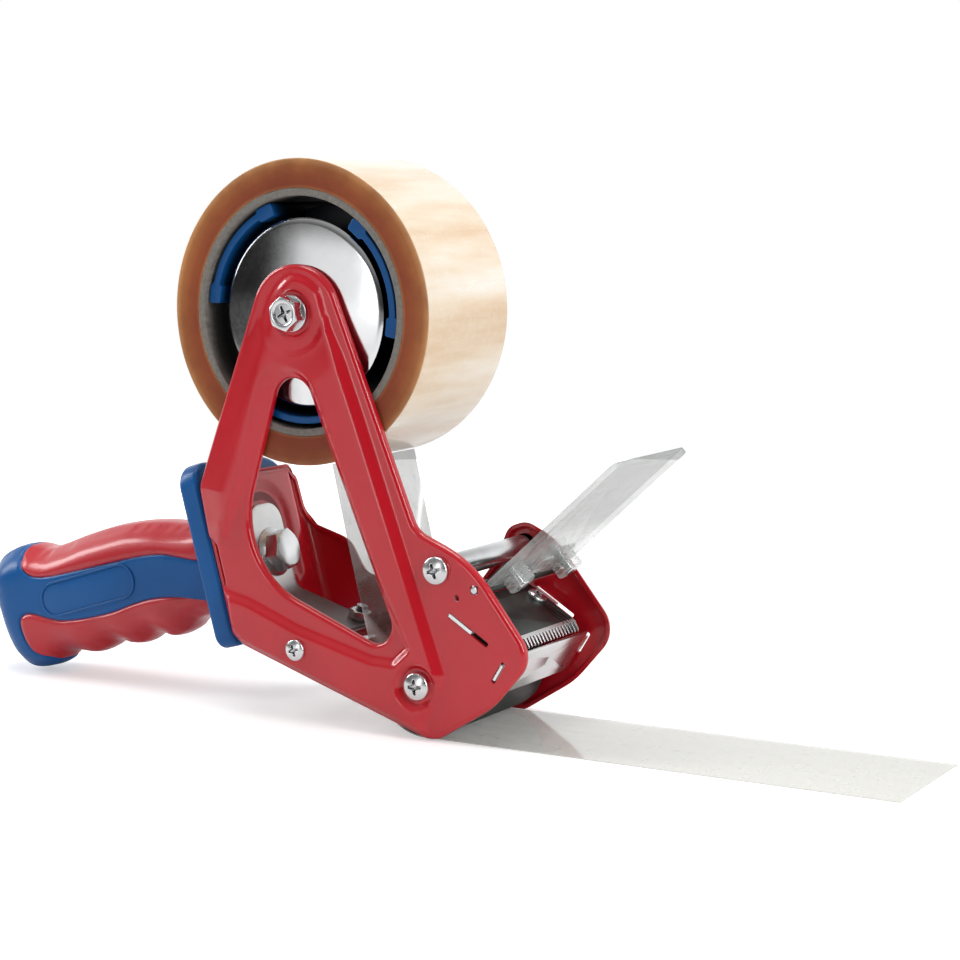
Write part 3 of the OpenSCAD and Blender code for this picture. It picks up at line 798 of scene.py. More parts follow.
def shadowed(g, colour, dark):
    """Painted shade: fades a colour to dark away from the roll's two side faces, as shade falls inside a deep
    tube.
    """
    shade = g.ramp(g.scaled(g.separated()[1], 20, 0.5),
                   (0.02, 0.0), (0.09, 0.7), (0.2, 1.0), (0.8, 1.0), (0.91, 0.7), (0.98, 0.0))
    return g.mix(shade, colour, dark)


def blue_hub():
    g = Graph("blue_hub")
    colour = g.cloudy(30, 4, (0.002, 0.085, 0.29), (0.004, 0.100, 0.33))
    # Painted shade: the blue fades to near black away from the roll's sides, inside the core.
    return g.finish(Base_Color=shadowed(g, colour, (0.003, 0.006, 0.010)), IOR=1.46, Specular_IOR_Level=0.3,
                    Roughness=g.between(g.noise(120, 3), 0.3, 0.4), Normal=g.bump(g.voronoi(1700), 0.10, 0.00012))


def red_grip():
    g = Graph("red_grip")
    worn = g.rise(g.noise(18, 3), 0.45, 0.75)
    return g.finish(Base_Color=g.cloudy(30, 4, (0.48, 0.007, 0.016), (0.55, 0.010, 0.022)), IOR=1.47,
                    Roughness=g.between(worn, 0.42, 0.32), Normal=g.bump(g.voronoi(1400), 0.16, 0.00012),
                    Sheen_Weight=0.1, Sheen_Roughness=0.35, Coat_Weight=0.45, Coat_Roughness=0.14)


def clear_plastic():
    g = Graph("clear_plastic")
    scratches = g.noise(400, 2, 0.5, g.stretched(1, 0.06, 1))
    colour = g.cloudy(40, 2, (0.15, 0.165, 0.155), (0.22, 0.235, 0.225))
    # Painted light: the flap's foot round the bosses lighter and more reflective, standing in for bright glassy
    # highlights.
    foot = g.fall(g.times(g.separated()[0], 10), 0.36, 0.46)
    grazing = g.node("ShaderNodeLayerWeight", Blend=0.35).outputs["Facing"]
    return g.finish(Base_Color=g.mix(foot, colour, (0.62, 0.65, 0.64)), IOR=1.46,
                    Roughness=g.between(scratches, 0.03, 0.12), Normal=g.bump(scratches, 0.03, 0.0001),
                    Alpha=g.scaled(grazing, 0.55, g.between(scratches, 0.15, 0.23)),
                    Specular_IOR_Level=g.scaled(foot, 0.45, 0.35))


def tape_film():
    g = Graph("tape_film")
    streaks = g.noise(160, 4, 0.6, g.stretched(0.15, 1, 0.15))
    tint = g.ramp(streaks, (0.3, 0.92), (0.7, 1.0))
    height = g.separated()[2]
    # Painted light and shade: the film light where it lies on the floor and dark grey from a few mm up, where it
    # hangs in the frame.
    colour = g.ramp(g.times(height, 200), (0.1, (0.80, 0.795, 0.73)), (0.9, (0.20, 0.215, 0.20)))
    colour = g.mix(1.0, colour, tint, "MULTIPLY")
    bubbles = g.rise(g.noise(260, 5, 0.7), 0.55, 0.75)
    # Painted highlights: thin white loops on the hanging film, standing in for reflections on its curved surface.
    loops = g.ramp(g.noise(26, 0, 0.4, g.stretched(1, 1, 0.25)), (0.44, 0.0), (0.46, 1.0), (0.475, 1.0),
                   (0.49, 0.0), (0.56, 0.0), (0.58, 0.9), (0.60, 0.0))
    hanging = g.rise(g.times(height, 100), 0.1, 0.4)
    waves = g.bump(g.noise(60, 2, 0.5, g.stretched(0.2, 1, 0.2)), 0.12, 0.0006)
    return g.finish(Base_Color=g.over(colour, (0.95, 0.95, 0.94), loops, hanging), Normal=waves, IOR=1.5,
                    Roughness=g.between(streaks, 0.06, 0.16),
                    Alpha=g.scaled(bubbles, 0.10, g.between(streaks, 0.40, 0.52)),
                    Coat_Weight=0.6, Coat_Roughness=0.03)


def wound_tape():
    g = Graph("wound_tape")
    r = g.from_axis()
    share = g.math("DIVIDE", g.minus(r, CORE_R * MM), (ROLL_R - CORE_R) * MM)
    honey = g.ramp(share, (0.0, (0.42, 0.17, 0.065)), (0.12, (0.30, 0.075, 0.030)), (0.4, (0.34, 0.095, 0.035)),
                   (0.75, (0.43, 0.165, 0.055)), (0.93, (0.62, 0.31, 0.13)), (1.0, (0.80, 0.50, 0.28)))
    rings = g.node("ShaderNodeTexNoise", Scale=1.0, Detail=4, Roughness=0.7)
    rings.noise_dimensions = "1D"
    g.set(rings.inputs["W"], g.times(r, 6000))
    lines = rings.outputs["Fac"]
    side = g.mix(g.times(lines, 0.2), honey, (0.75, 0.42, 0.18), "SOFT_LIGHT")
    blotch = g.rise(g.noise(34, 4, 0.6), 0.40, 0.62)
    side = g.over(side, (0.17, 0.032, 0.018), blotch, 0.5)
    # Painted shade: the tape's sides darker on the lower part of the roll.
    lower = g.fall(g.times(g.separated()[2], 5), 0.42, 0.66)
    side = g.over(side, (0.19, 0.03, 0.017), lower, 0.55)
    streaks = g.noise(58, 5, 0.6, g.stretched(1, 0.14, 1))
    tread = g.ramp(streaks, (0.34, (0.78, 0.55, 0.34)), (0.5, (0.88, 0.73, 0.55)), (0.66, (0.96, 0.89, 0.78)))
    specks = g.rise(g.noise(420, 5, 0.75), 0.5, 0.78)
    tread = g.over(tread, (0.92, 0.86, 0.77), specks, 0.4)
    normal = g.node("ShaderNodeNewGeometry").outputs["Normal"]
    is_side = g.math("GREATER_THAN", g.math("ABSOLUTE", g.separated(normal)[1]), 0.6)
    bump = g.bump(g.times(lines, is_side), 0.12, 0.0001)
    bump = g.bump(g.noise(55, 3, 0.5, g.stretched(0.3, 1, 0.3)), 0.05, 0.001, bump)
    return g.finish(Base_Color=g.mix(is_side, tread, side), Normal=bump, IOR=1.48,
                    Roughness=g.scaled(is_side, 0.10, g.between(streaks, 0.16, 0.34)),
                    Specular_IOR_Level=g.between(is_side, 0.5, 0.2),
                    Coat_Weight=g.between(is_side, 0.5, 0.0), Coat_Roughness=0.1)


def card_core():
    g = Graph("card_core")
    fibres = g.noise(700, 5, 0.7, g.stretched(1, 0.4, 1))
    colour = g.ramp(fibres, (0.3, (0.15, 0.14, 0.125)), (0.7, (0.27, 0.25, 0.225)))
    r = g.from_axis()
    plies = g.math("SINE", g.times(r, 14000))
    colour = g.mix(g.scaled(plies, 0.08, 0.08), colour, (0.25, 0.22, 0.19))
    # Painted shade: the core's inner wall fades to near black away from the roll's sides.
    inner = g.math("LESS_THAN", r, (CORE_R - 0.6) * MM)
    return g.finish(Base_Color=g.mix(inner, colour, shadowed(g, colour, (0.012, 0.014, 0.013))), Roughness=0.88,
                    Normal=g.bump(fibres, 0.3, 0.0002))


MATERIALS = {recipe.__name__: cache(recipe) for recipe in (
    red_enamel, red_web, zinc_plate, zinc_sheet, plain_steel, dark_zinc, blade_steel, pin_steel, bright_plate,
    chrome_dish, roller_rubber, black_plastic, white_plastic, blue_plastic, blue_hub, red_grip, clear_plastic,
    tape_film, wound_tape, card_core)}


# ---- side plates
NOSE = [(42.1, 30.2, 9), (26.8, 12.8, 28), (5.2, -0.6, 10)]
NEAR = [(-47, 182.1, 17.2), (-0.7, 68, 8), (19.5, 59.6, 40), *NOSE, (-70, 24, 3), (-74.6, 27.6, 2),
        (-78.4, 43, 0.8), (-77, 44.6, 0.8), (-80.4, 57.4, 0.8), (-83.6, 59.8, 3), (-87.2, 77, 8)]
WINDOW = rounded([(-49, 129.7, 7.5), (-73.1, 51.2, 29), (-5.1, 24.5, 6.5)])
# The lower triangle's crease, round the window's front corner, and the end of the rear arm's rib
BASE_AREA = np.array([(-95, 44), (-77.8, 42.9), (-66, 40.4), (-46, 33), (-17, 25.6), (-9, 25.4), (-4, 30),
                      (-20, 60), (-45, 90), (-60, 88), (-66.2, 82), (-71.3, 70), (-75, 60.5), (-79, 57.6),
                      (-95, 56)])
RIDGE = np.array([(-31, 134), (-19, 103), (-1.5, 55), (10.5, 21.5), (3, 6), (6, -12), (-120, -12), (-120, 200),
                  (-50, 200)])


def slot_outline(u0, u1, half, r, m):
    """A slot in a frame whose u and v lie in the side view."""
    loop = box_outline(u0, -half, u1, half, r)
    return placed(np.column_stack([loop, np.zeros(len(loop))]), m)[:, [0, 2]]


def slots():
    """Long slot for the blade holder's tab, front slot, pin hole and a small hole."""
    return [slot_outline(-0.2, 16.6, 0.9, 0.5, HOLDER), slot_outline(1.3, 9.3, 0.8, 0.4, FRONT),
            slot_outline(-1.4, 1.4, 1.4, 0.3, PIN_AXIS), circle(1.1, 14, (14.7, 47.5))]


def near_height(p):
    """How far the near plate's pressed face stands out of its base, in mm."""
    x, z = p[:, 0], p[:, 1]
    edge, window = distance(p, rounded(NEAR)), distance(p, WINDOW)
    rear_arm = ease((-46 - x) / 10) * ease((z - 56) / 14)
    width = 5.2 + 5.2 * rear_arm - 2.2 * ease((46 - z) / 12)
    steps = [(edge - 1.3) / (width - 1.3), (window - 1.2) / (2.0 + 2.2 * rear_arm),
             signed(p, RIDGE) / 3.4, -signed(p, BASE_AREA) / 2.2]
    least = -0.07 * np.log(sum(np.exp(-np.clip(s, -3, 4) / 0.07) for s in steps))
    h = PRESS * bend(least)
    axle = np.hypot(x - ROLL.x, z - ROLL.z)
    h -= 0.35 * (1 - ease((axle - 12.4) / 1.6)) + 0.7 * (1 - ease((axle - 13.5) / 12))
    h = np.where(axle < 12, h * ease((axle - 7.0) / 1.3), h)
    h *= ease((np.hypot(x - ROLLER.x, z - ROLLER.z) - 5.6) / 2.6)
    return np.maximum(h, 0)


def near_side_plate():
    def place(x, z, h):
        return np.column_stack([x, -OUTER - h, z])

    roll, roller_at = (ROLL.x, ROLL.z), (ROLLER.x, ROLLER.z)
    guides = [(circle(7.6, 90, roll), (-0.5, 0, 0.5)), (circle(13.2, 100, roll), (-0.7, 0, 0.7)),
              (circle(7, 80, roller_at), (-1.2, -0.6, 0, 0.6, 1.2))]
    loops = [(rounded(NEAR), 0.9), (WINDOW, 0.9)] + [(s, 0.5) for s in slots()]
    skin = pressed(loops, (0, 1), near_height, place, 1.7, 2.6, 0.95, guides)
    thicken(simple("near_side_plate", "sheet", skin, "red_enamel"), 1.3)
    flange = prism(rounded([(-OUTER + 1.5, -20, 2), (20, -20, 4), (20, 12, 6), (-OUTER + 1.5, 12, 3)]),
                   [circle(BOLT_HOLE_R, 40)], SHEET + 0.02, 2 * SHEET, 0.3, WEB_FACE)
    piece("near_side_plate_flange", flange, "red_enamel", "root")


BEND_R = 3.0  # outer radius of the bend between the far plate and its rear web


def far_plan(x, z):
    """Flat pattern place of a point of the far plate's side: forward distance from the bend, and height."""
    q = WEB.inverted() @ Vector((x, 0, z))
    return -q.x - (BEND_R - SHEET), q.y


def web_plan(y, h):
    """Flat pattern place of a point of the rear web."""
    return y - (OUTER - BEND_R) - math.pi * BEND_R / 2, h


def bent(p, q, h):
    """Folds the flat pattern round the bend between the far plate and its rear web."""
    turn = np.clip(-p / BEND_R, 0, math.pi / 2)
    s = SHEET - BEND_R - np.maximum(p, 0) + (BEND_R + h) * np.sin(turn)
    y = OUTER - BEND_R + (BEND_R + h) * np.cos(turn) - np.maximum(-p - math.pi * BEND_R / 2, 0)
    return placed(np.column_stack([s, q, y]), WEB)


def far_side_plate():
    def side(corners):
        return [(*far_plan(x, z), r) for x, z, r in corners]

    def flat(loop, fold):
        return np.array([fold(*p) for p in loop])

    web = [(26, -22.5, 2), (-26.4, -22, 3), (-26.4, 8, 4), (-24, 28.3, 4), (24, 28.3, 5), (24.6, 12, 8)]
    outline = rounded([*side([(3.0, 61.5, 5), (9, 63.5, 5.5), (19.5, 58.6, 26), *NOSE, (-70, 24, 4)]),
                       *[(*web_plan(y, h), r) for y, h, r in web], (*far_plan(*web_point(-1.5, 5.2)), 6),
                       *side([(-64, 52.5, 8), (-57, 40.5, 8), (-12, 37, 14), (-2, 50, 5)])])
    pocket = flat(box_outline(-13.6, -40, 13.6, 22.2, 1, 10.5), web_plan)

    def height(p):
        """The web stands forward of the pocket that holds the strap's head, and steps back before the bend."""
        step = bend((-signed(p, pocket) - 0.4) / 3.2, 0.05) * ease((-p[:, 0] - math.pi * BEND_R / 2 - 1) / 4)
        return -1.5 * step * ease((p[:, 1] + 16) / 8)

    loops = [(outline, 0.9), (flat(circle(4.3, 40), web_plan), 0.9)] + [(flat(s, far_plan), 0.5) for s in slots()]
    rim = even(turned_way(pocket, True), 0.9)
    skin = pressed(loops, (0,), height, bent, 1.4, 1.45, 1.0, [(rim, (-0.4, -1.2, -2.0, -2.8, -3.6))])
    thicken(simple("far_side_plate", "sheet", skin, "red_web"), 1.3)


# ---- rods, screws and the brace
def screws(name, places, head_r, head_h, shank_r, shank_l, node):
    solids = []
    for i, m in enumerate(places):
        spin = Matrix.Rotation(math.radians(17 + 38 * i), 4, "Z")
        solids += [screw_head(head_r, head_h, m @ spin), rod(shank_r, -shank_l, -0.02, 0.3, m, 32)]
    piece(name, joined(*solids), "zinc_plate", "root", node, sharp=40)


def facing(at, y, way):
    """A frame on an axis across, w pointing outwards to the side of this sign."""
    return axes((at.x, y, at.z), (1, 0, 0), (0, 0, 1), (0, way, 0))


def plate_ends(at, near_y):
    return [facing(at, near_y, -1), facing(at, OUTER, 1)]


def fasteners():
    large = plate_ends(UPPER, -OUTER) + plate_ends(ROLLER, -OUTER)
    screws("plate_screw_set", large, 4.6, 2.7, 2.45, 9, "plate_screws")
    screws("rear_rod_screw_set", plate_ends(REAR, -OUTER - PRESS), 3.6, 2.2, 1.95, 8, "rear_rod_screws")


def spacer(node, r, edge, material, at, steps=64):
    """A plain bar as long as its CAD node."""
    bar = rod(r, low(node).y, high(node).y, edge, shifted(ACROSS, at.x, at.z), steps)
    simple(node, "bar", bar, material)


def rods():
    spacer("upper_spacer_rod", 4, 0.5, "zinc_plate", UPPER)
    spacer("rear_spacer_rod", 3.5, 0.4, "zinc_plate", REAR)


def brace():
    """Strap bent from the handle bolt down onto the rear rod, with its screw and nut."""
    thickness, half, top = 1.5, 9, 17.2
    start, turn, fold = (np.array(web_point(-thickness / 2, h)) for h in (top, -11, -14))
    leg = np.array([REAR.x, REAR.z]) - fold
    lift = 3.5 + thickness / 2 + 0.02
    angle = math.degrees(math.atan2(leg[1], leg[0]) + math.asin(lift / np.linalg.norm(leg)))
    length = math.sqrt(leg @ leg - lift ** 2)
    leg_axes = side_axes(fold[0], fold[1], angle)
    end = leg_axes @ Vector((length + 4.5, 0, 0))
    tip = np.array([end.x, end.z])
    after = fold + 3 * unit(tip - fold)
    curve = [(1 - t) ** 2 * turn + 2 * t * (1 - t) * fold + t * t * after for t in np.linspace(0, 1, 9)]
    line = even(np.vstack([[start], curve, [tip]]), 0.25, False)
    run = np.concatenate([[0], np.cumsum(np.linalg.norm(np.diff(line, axis=0), axis=1))])
    direction = unit(np.gradient(line, axis=0))

    def place(y, along, h):
        x, z, dx, dz = (np.interp(along, run, column) for column in (*line.T, *direction.T))
        return np.column_stack([x - dz * h, y, z + dx * h])

    loops = [(box_outline(-half, 0, half, run[-1], 6.5, 3), 0.8), (circle(4.1, 40, (0, top)), 0.7)]
    simple("brace_strap", "sheet", sheet(loops, 1.2, thickness, 0.3, place), "zinc_sheet")
    nut_frame = turned(shifted(leg_axes, length, thickness / 2 + 0.02, 5), "uwv")
    simple("brace_nut", "hex", hexagon(7, 3.2, 2.05, nut_frame, under=True), "zinc_plate")
    under = turned(shifted(leg_axes, length, -thickness / 2 - 7.1, 5), "uwv")
    head = screw_head(3.5, 2.2, under @ Matrix.Rotation(math.pi, 4, "X"))
    simple("brace_screw", "body", joined(head, thread(2, 0, 13.6, 0.7, under)), "plain_steel", sharp=40)


# ---- roller, blade and front plate
def roller():
    half = high("roller_sleeve").y
    sleeve = ring(ROLLER_R - 3.7, ROLLER_R, -half, half, 0.7, shifted(ACROSS, ROLLER.x, ROLLER.z), 128, 4)
    simple("roller_sleeve", "rubber", sleeve, "roller_rubber", "roller")


def tabbed(u0, t0, t1, u1, r_foot, r_root):
    """Outline of a cross plate from u0 to u1 with a tab at each end from t0 to t1."""
    v, tab = 26.2, 28.7
    half = [(u0, -v, r_foot), (t0, -v, r_root), (t0, -tab, 0.3), (t1, -tab, 0.3), (t1, -v, r_root), (u1, -v, 1)]
    return rounded(half + [(u, -v, r) for u, v, r in half[::-1]])


def blade_parts():
    flat, top, half = turned(HOLDER, "uwv"), 0.6, 25
    screws_at = [(4.7, side * 20) for side in (-1, 1)]
    holes = [circle(1.8, 32, at) for at in screws_at]
    holder = tabbed(-3, 0, 9.8, 19.5, 1, 0.3)
    simple("blade_holder", "plate", prism(holder, holes, -top, top, 0.15, flat), "dark_zinc")
    teeth, root, tip = 24, 19.3, 22.7
    pitch = 2 * half / teeth
    edge = [(1, half), (1, -half)]
    for i in range(teeth):
        middle = -half + (i + 0.5) * pitch
        edge += [(root, middle - 0.62), (tip, middle - 0.22), (tip, middle + 0.22), (root, middle + 0.62)]
    points, faces = prism(np.array(edge, float), holes, top + 0.01, top + 0.6, 0.06, Matrix.Identity(4), 1)
    past, droop = np.maximum(points[:, 0] - root + 0.05, 0), math.radians(30)
    points[:, 2] -= past * math.sin(droop)
    points[:, 0] -= past * (1 - math.cos(droop))
    simple("blade", "strip", (placed(points, flat), faces), "blade_steel")
    places = [shifted(flat, *at, top + 0.62) for at in screws_at]
    screws("blade_screw_set", places, 3.3, 1.9, 1.65, 4.5, "blade_screws")


def front_plate():
    shape = tabbed(0, 2.3, 8.3, 16.2, 0.6, 0.2)
    slit = box_outline(6, 4, 9.5, 4.6, 0.2)
    simple("front_plate", "sheet", prism(shape, [slit], -0.5, 0.5, 0.2, turned(FRONT, "uwv")), "bright_plate")


# ---- flap
def notched(u0, u1, half, floor, r0, r1, r_mouth, r_floor):
    """A plate from u0 to u1 with a 10 mm wide notch in its foot."""
    return rounded([(u0, -half, r0), (u1, -half, r1), (u1, half, r1), (u0, half, r0),
                    (u0, 5, r_mouth), (floor, 5, r_floor), (floor, -5, r_floor), (u0, -5, r_mouth)])


def flap_panel(flat, holes, places):
    panel = notched(3, 64, 25, 4.6, 1, 2.5, 0.8, 0.8)
    solids = [prism(panel, holes, -1.95, 0.05, 0.3, flat),
              prism(box_outline(5.5, -4.6, 13.5, 4.6, 2.3), [box_outline(6.6, -3.4, 12.4, 3.4, 1.6)],
                    -2.6, -1.9, 0.2, flat)]
    boss = [(1.6, -6.6), (4.5, -6.6), (4.8, -6.3)]
    for k in range(3):
        w = -6.3 + 1.5 * k
        boss += [(4.8, w + 0.7), (4.35, w + 0.85), (4.35, w + 1.35), (4.8, w + 1.5)]
    boss += [(4.8, -1.85), (1.6, -1.85)]
    solids += [lathe(boss, m, 64, True) for m in places]
    simple("clear_flap", "panel", joined(*solids), "clear_plastic", "flap", 25)


def flap():
    flat = turned(FLAP, "uwv")
    bosses = [(8.5, side * 16) for side in (-1, 1)]
    holes = [circle(1.55, 32, at) for at in bosses]
    places = [shifted(flat, *at) for at in bosses]
    flap_panel(flat, holes, places)
    leaf = notched(1.6, 12.6, 23, 4.5, 0.6, 1.5, 0.3, 0.5)
    solids = [prism(leaf, holes, 0.1, 0.9, 0.2, flat)]
    solids += [ring(1.25, 2.2, a, b, 0.25, PIN_AXIS, 48) for a, b in ((-23, -5), (5, 23))]
    simple("flap_hinge_leaf", "sheet", joined(*solids), "dark_zinc", "flap")
    rivets = []
    for m in places:
        rivets += [rod(1.5, -7.0, 1.0, 0.1, m, 32),
                   lathe([(0, 0.92), (2.5, 0.92), (2.6, 1.1), (2.2, 1.5), (1.2, 1.66), (0, 1.68)], m, 48),
                   lathe([(0, -7.3), (1.3, -7.3), (2.0, -7.2), (2.2, -6.9), (2.2, -6.62), (0, -6.62)], m, 48)]
    piece("flap_rivet_pair", joined(*rivets), "zinc_plate", "flap", "flap_rivets")
    spacer("flap_pin", 1.2, 0.25, "pin_steel", PIN, 32)
    simple("flap_spring", "coil", tube(helix(2.3, -3.9, 3.9, 7, PIN_AXIS), 0.42), "plain_steel", "flap")


# ---- axle, hub and brake
def axle_parts():
    shaft = low("axle_shaft").y
    bar = joined(rod(4, shaft, high("axle_shaft").y, 0.6, ROLL_AXIS), ring(3.9, 7, shaft, -25.3, 0.2, ROLL_AXIS))
    simple("axle_shaft", "bar", bar, "plain_steel", sharp=40)
    simple("axle_washer", "ring", ring(3.05, 6, -OUTER - 1, -OUTER - 0.02, 0.25, ROLL_AXIS), "zinc_plate")
    seat = facing(ROLL, -OUTER - 1.02, -1)
    spin = Matrix.Rotation(math.radians(24), 4, "Z")
    solids = [hexagon(10, 4.6, 3.5, seat, turn=0.18, chamfer=0.97), rod(3, -13, 0.05, 0.4, seat),
              screw_head(3.9, 2.6, shifted(seat, 0, 0, 1.3) @ spin, recess=0.74, dome=0.06)]
    simple("axle_screw", "body", joined(*solids), "zinc_plate", sharp=40)


def pressure_disc():
    r, bulge, y = 31, 3.2, -22
    dome = (r * r + bulge * bulge) / (2 * bulge)
    out = []
    for i in range(25):
        q = 4.2 + (r - 1.0 - 4.2) * i / 24
        out.append((q, y - (bulge - dome + math.sqrt(dome * dome - q * q))))
    rim = [(r - 0.4, y + 0.15), (r, y + 0.5), (r - 0.1, y + 1.0), (r - 0.6, y + 1.1)]
    back = [(q, w + 0.8) for q, w in out[::-1]]
    simple("pressure_disc", "dish", lathe(out + rim + back, ROLL_AXIS, 160, True), "chrome_dish")


def hub_arc(middle):
    """Outline of an arc-shaped wall with thick rounded ends, drawn flat and then curled round the hub."""
    r, end, wall, inner, outer = 35.4, 21.0, 1.2, -2.3, 2.2
    block = end - 6.4
    corners = [(-end, inner, 0.9), (-block, inner, 0.9), (-block, -wall, 0.4), (block, -wall, 0.4),
               (block, inner, 0.9), (end, inner, 0.9), (end, outer, 0.9), (block, outer, 0.9),
               (block, wall, 0.4), (-block, wall, 0.4), (-block, outer, 0.9), (-end, outer, 0.9)]
    flat = even(rounded(corners), 0.5)
    angle = math.radians(middle) + flat[:, 0] / r
    return np.column_stack([(r + flat[:, 1]) * np.cos(angle), (r + flat[:, 1]) * np.sin(angle)])


def hub_wheel():
    near, far = low("hub_wheel").y, high("hub_wheel").y
    solids = [ring(5.45, 8.5, -18, 20.4, 0.4, ROLL_AXIS, 72), ring(8.3, 35, -5, -2.5, 0.4, ROLL_AXIS, 128)]
    spoke = box_outline(6, -3, 35, 3, 1)
    for a in (22, 142, 262):
        turn = ROLL_AXIS @ Matrix.Rotation(math.radians(a), 4, "Z")
        solids += [prism(hub_arc(a), [], near, far, 0.35, ROLL_AXIS), prism(spoke, [], far - 2.5, far, 0.4, turn)]
    simple("hub_wheel", "moulding", joined(*solids), "blue_hub", "roll")


def brake():
    simple("brake_washer", "ring", ring(4.05, 9, 22.7, 23.9, 0.3, ROLL_AXIS), "zinc_plate")
    simple("brake_spring", "coil", tube(helix(6.2, 24.9, 28.7, 3, ROLL_AXIS, 0.14), 0.8, 12), "plain_steel")
    t = np.linspace(0, 2 * math.pi, 121)[:-1]
    lobed = 9.4 + 1.15 * np.cos(6 * t)
    outline = np.column_stack([lobed * np.cos(t), lobed * np.sin(t)])
    solids = [prism(outline, [circle(4.1, 48)], 29.7, 36.4, 1.1, ROLL_AXIS, 5),
              ring(4.06, 6.6, 36.0, 37.0, 0.4, ROLL_AXIS)]
    simple("brake_knob", "moulding", joined(*solids), "black_plastic", "knob")


# ---- tape
def tape_core():
    tube_of_card = ring(CORE_R - 2.5, CORE_R - 0.02, -TAPE_HALF, TAPE_HALF, 0.35, ROLL_AXIS, 160)
    simple("tape_core", "tube", tube_of_card, "card_core", "roll")


def tape_roll():
    """Wound tape: faint steps between the windings on both sides, and a slightly soft outer edge."""
    inner, count = CORE_R + 0.03, 34
    half = []
    for i in range(count + 1):
        step = 0.012 * math.sin(i * 2.4) + 0.010 * math.sin(i * 1.1 + 1)
        half.append((inner + (ROLL_R - 0.5 - inner) * i / count, TAPE_HALF - 0.04 + step))
    half += [(ROLL_R - 0.22, TAPE_HALF - 0.12), (ROLL_R - 0.04, TAPE_HALF - 0.3), (ROLL_R, TAPE_HALF - 0.6)]
    solid = lathe([(r, -w) for r, w in half] + half[::-1], ROLL_AXIS, 192, True)
    simple("tape_roll", "windings", solid, "wound_tape", "roll", 50)


def tape_web():
    """Film from the roll to the application roller, round its rear and along the floor."""
    gap, thick, lean = 0.15, 0.2, math.radians(13.3)
    r = ROLLER_R + gap + thick / 2

    def round_roller(a):
        return np.array([ROLLER.x + r * math.cos(a), ROLLER.z + r * math.sin(a)])

    peel = np.array([ROLL.x + 12.6, ROLL.z - math.sqrt(ROLL_R ** 2 - 12.6 ** 2) - 0.35])
    leave = np.array([ROLLER.x - r * math.cos(lean), ROLLER.z - r * math.sin(lean)])
    path = [peel + (leave - peel) * t for t in np.linspace(0, 1, 40)]
    span = len(path)
    path += [round_roller(a) for a in np.linspace(math.pi + lean, 1.5 * math.pi, 26)[1:]]
    path += [np.array([x, thick / 2 + 0.001]) for x in np.linspace(2, high("tape_web").x, 60)]
    direction = unit(np.gradient(np.array(path), axis=0))
    columns = np.linspace(-TAPE_HALF, TAPE_HALF, 25)
    points = []
    for i, (c, d) in enumerate(zip(path, direction)):
        t = min(i / (span - 1), 1)
        for y in columns:
            v = y / TAPE_HALF
            wave = 0.9 * math.sin(math.pi * t) * (0.55 * (1 - v * v) + 0.25 * math.sin(3.0 * v + 5 * t))
            points.append((c[0] - d[1] * wave, y, c[1] + d[0] * wave))
    skin = np.array(points), strips(len(path), len(columns), around=False)
    thicken(simple("tape_web", "film", skin, "tape_film", sharp=60), thick, 60, 0)


# ---- handle
GRIP = [(11, 15.5), (22, 16.2), (32, 17.8), (42, 20.2), (52, 21.8), (64, 22.5), (78, 22), (90, 20.9), (98, 21),
        (106, 23.8), (114, 24), (121, 21.8), (125.6, 17), (127, 9), (126.6, -1), (125.2, -10), (122, -17.4),
        (117, -21.2), (111, -22), (105, -21.4), (99, -18), (92, -19.3), (86, -20.8), (80, -20), (74, -17.9),
        (68, -20.4), (62, -21), (54.6, -18.3), (48, -21.2), (41, -20.4), (35, -17.3), (24, -15.8), (11, -15)]
GRIP_K = 124 / 127  # from the drawn length to the built one
BAND_TOP = [(11, 0.6), (22, 3.3), (30, 6), (38, 8.4), (48, 9.5), (62, 9.7), (80, 9.9), (92, 10.2), (100, 11.6),
            (104.6, 15), (105.8, 19.6), (104.5, 25)]
BAND_LOW = [(11, -13.2), (22, -11.5), (33, -8), (44, -6.3), (54, -6.4), (66, -7.6), (80, -7.5), (91, -6.3),
            (98, -4), (105, -1.3), (109.6, -2), (110.8, -6), (109, -14), (104.6, -18.8), (101, -23)]


def grip_line(line, closed=False):
    """The grip's outlines are drawn 127 mm long and brought to its length."""
    return even(spline([(s * GRIP_K, h) for s, h in line], closed), 0.8, closed)


def grip_surface(node, kind, loop, material, proud, seam=None):
    """One moulded part of the grip: its side view region, swollen to the grip's round section on both sides."""
    whole = grip_line(GRIP, True)
    section, half = 11.5, 14.6
    p, tri, loops = plan([(loop, 0.8)], 1.1, (0.12, 0.35, 0.7))
    to_whole = distance(p, whole)
    depth = np.where(inside(p, whole) & (to_whole >= 0.02), to_whole, 0)
    q = np.clip(depth / section, 0, 1)
    border = distance(p, loops[0])
    outer_edge = depth < 0.05
    y = smoothed(half * np.sqrt(1 - (1 - q) ** 2.2), tri, (border < 0.8) & (depth < 1.2) | outer_edge, 26)
    cut = np.minimum(border if seam is None else distance(p, seam, False), 60)
    y = y + proud * ease(cut / 1.4) * ease(depth / 4)
    y = y - 0.55 * (1 - ease(cut / 0.75)) * ease(depth / 2)
    y = np.where(outer_edge, 0, np.maximum(y, 0.02))
    points, faces = two_sided(np.column_stack([p, y]), np.column_stack([p, -y]), tri)
    simple(node, kind, (placed(points, WEB), faces), material, sharp=60)


def walked(loop, start, stop):
    """The loop's points from one index forward to another."""
    n = len(loop)
    return [loop[(start + k) % n] for k in range((stop - start) % n + 1)]


def closest(loop, point):
    return int(np.argmin(np.sum((loop - point) ** 2, 1)))


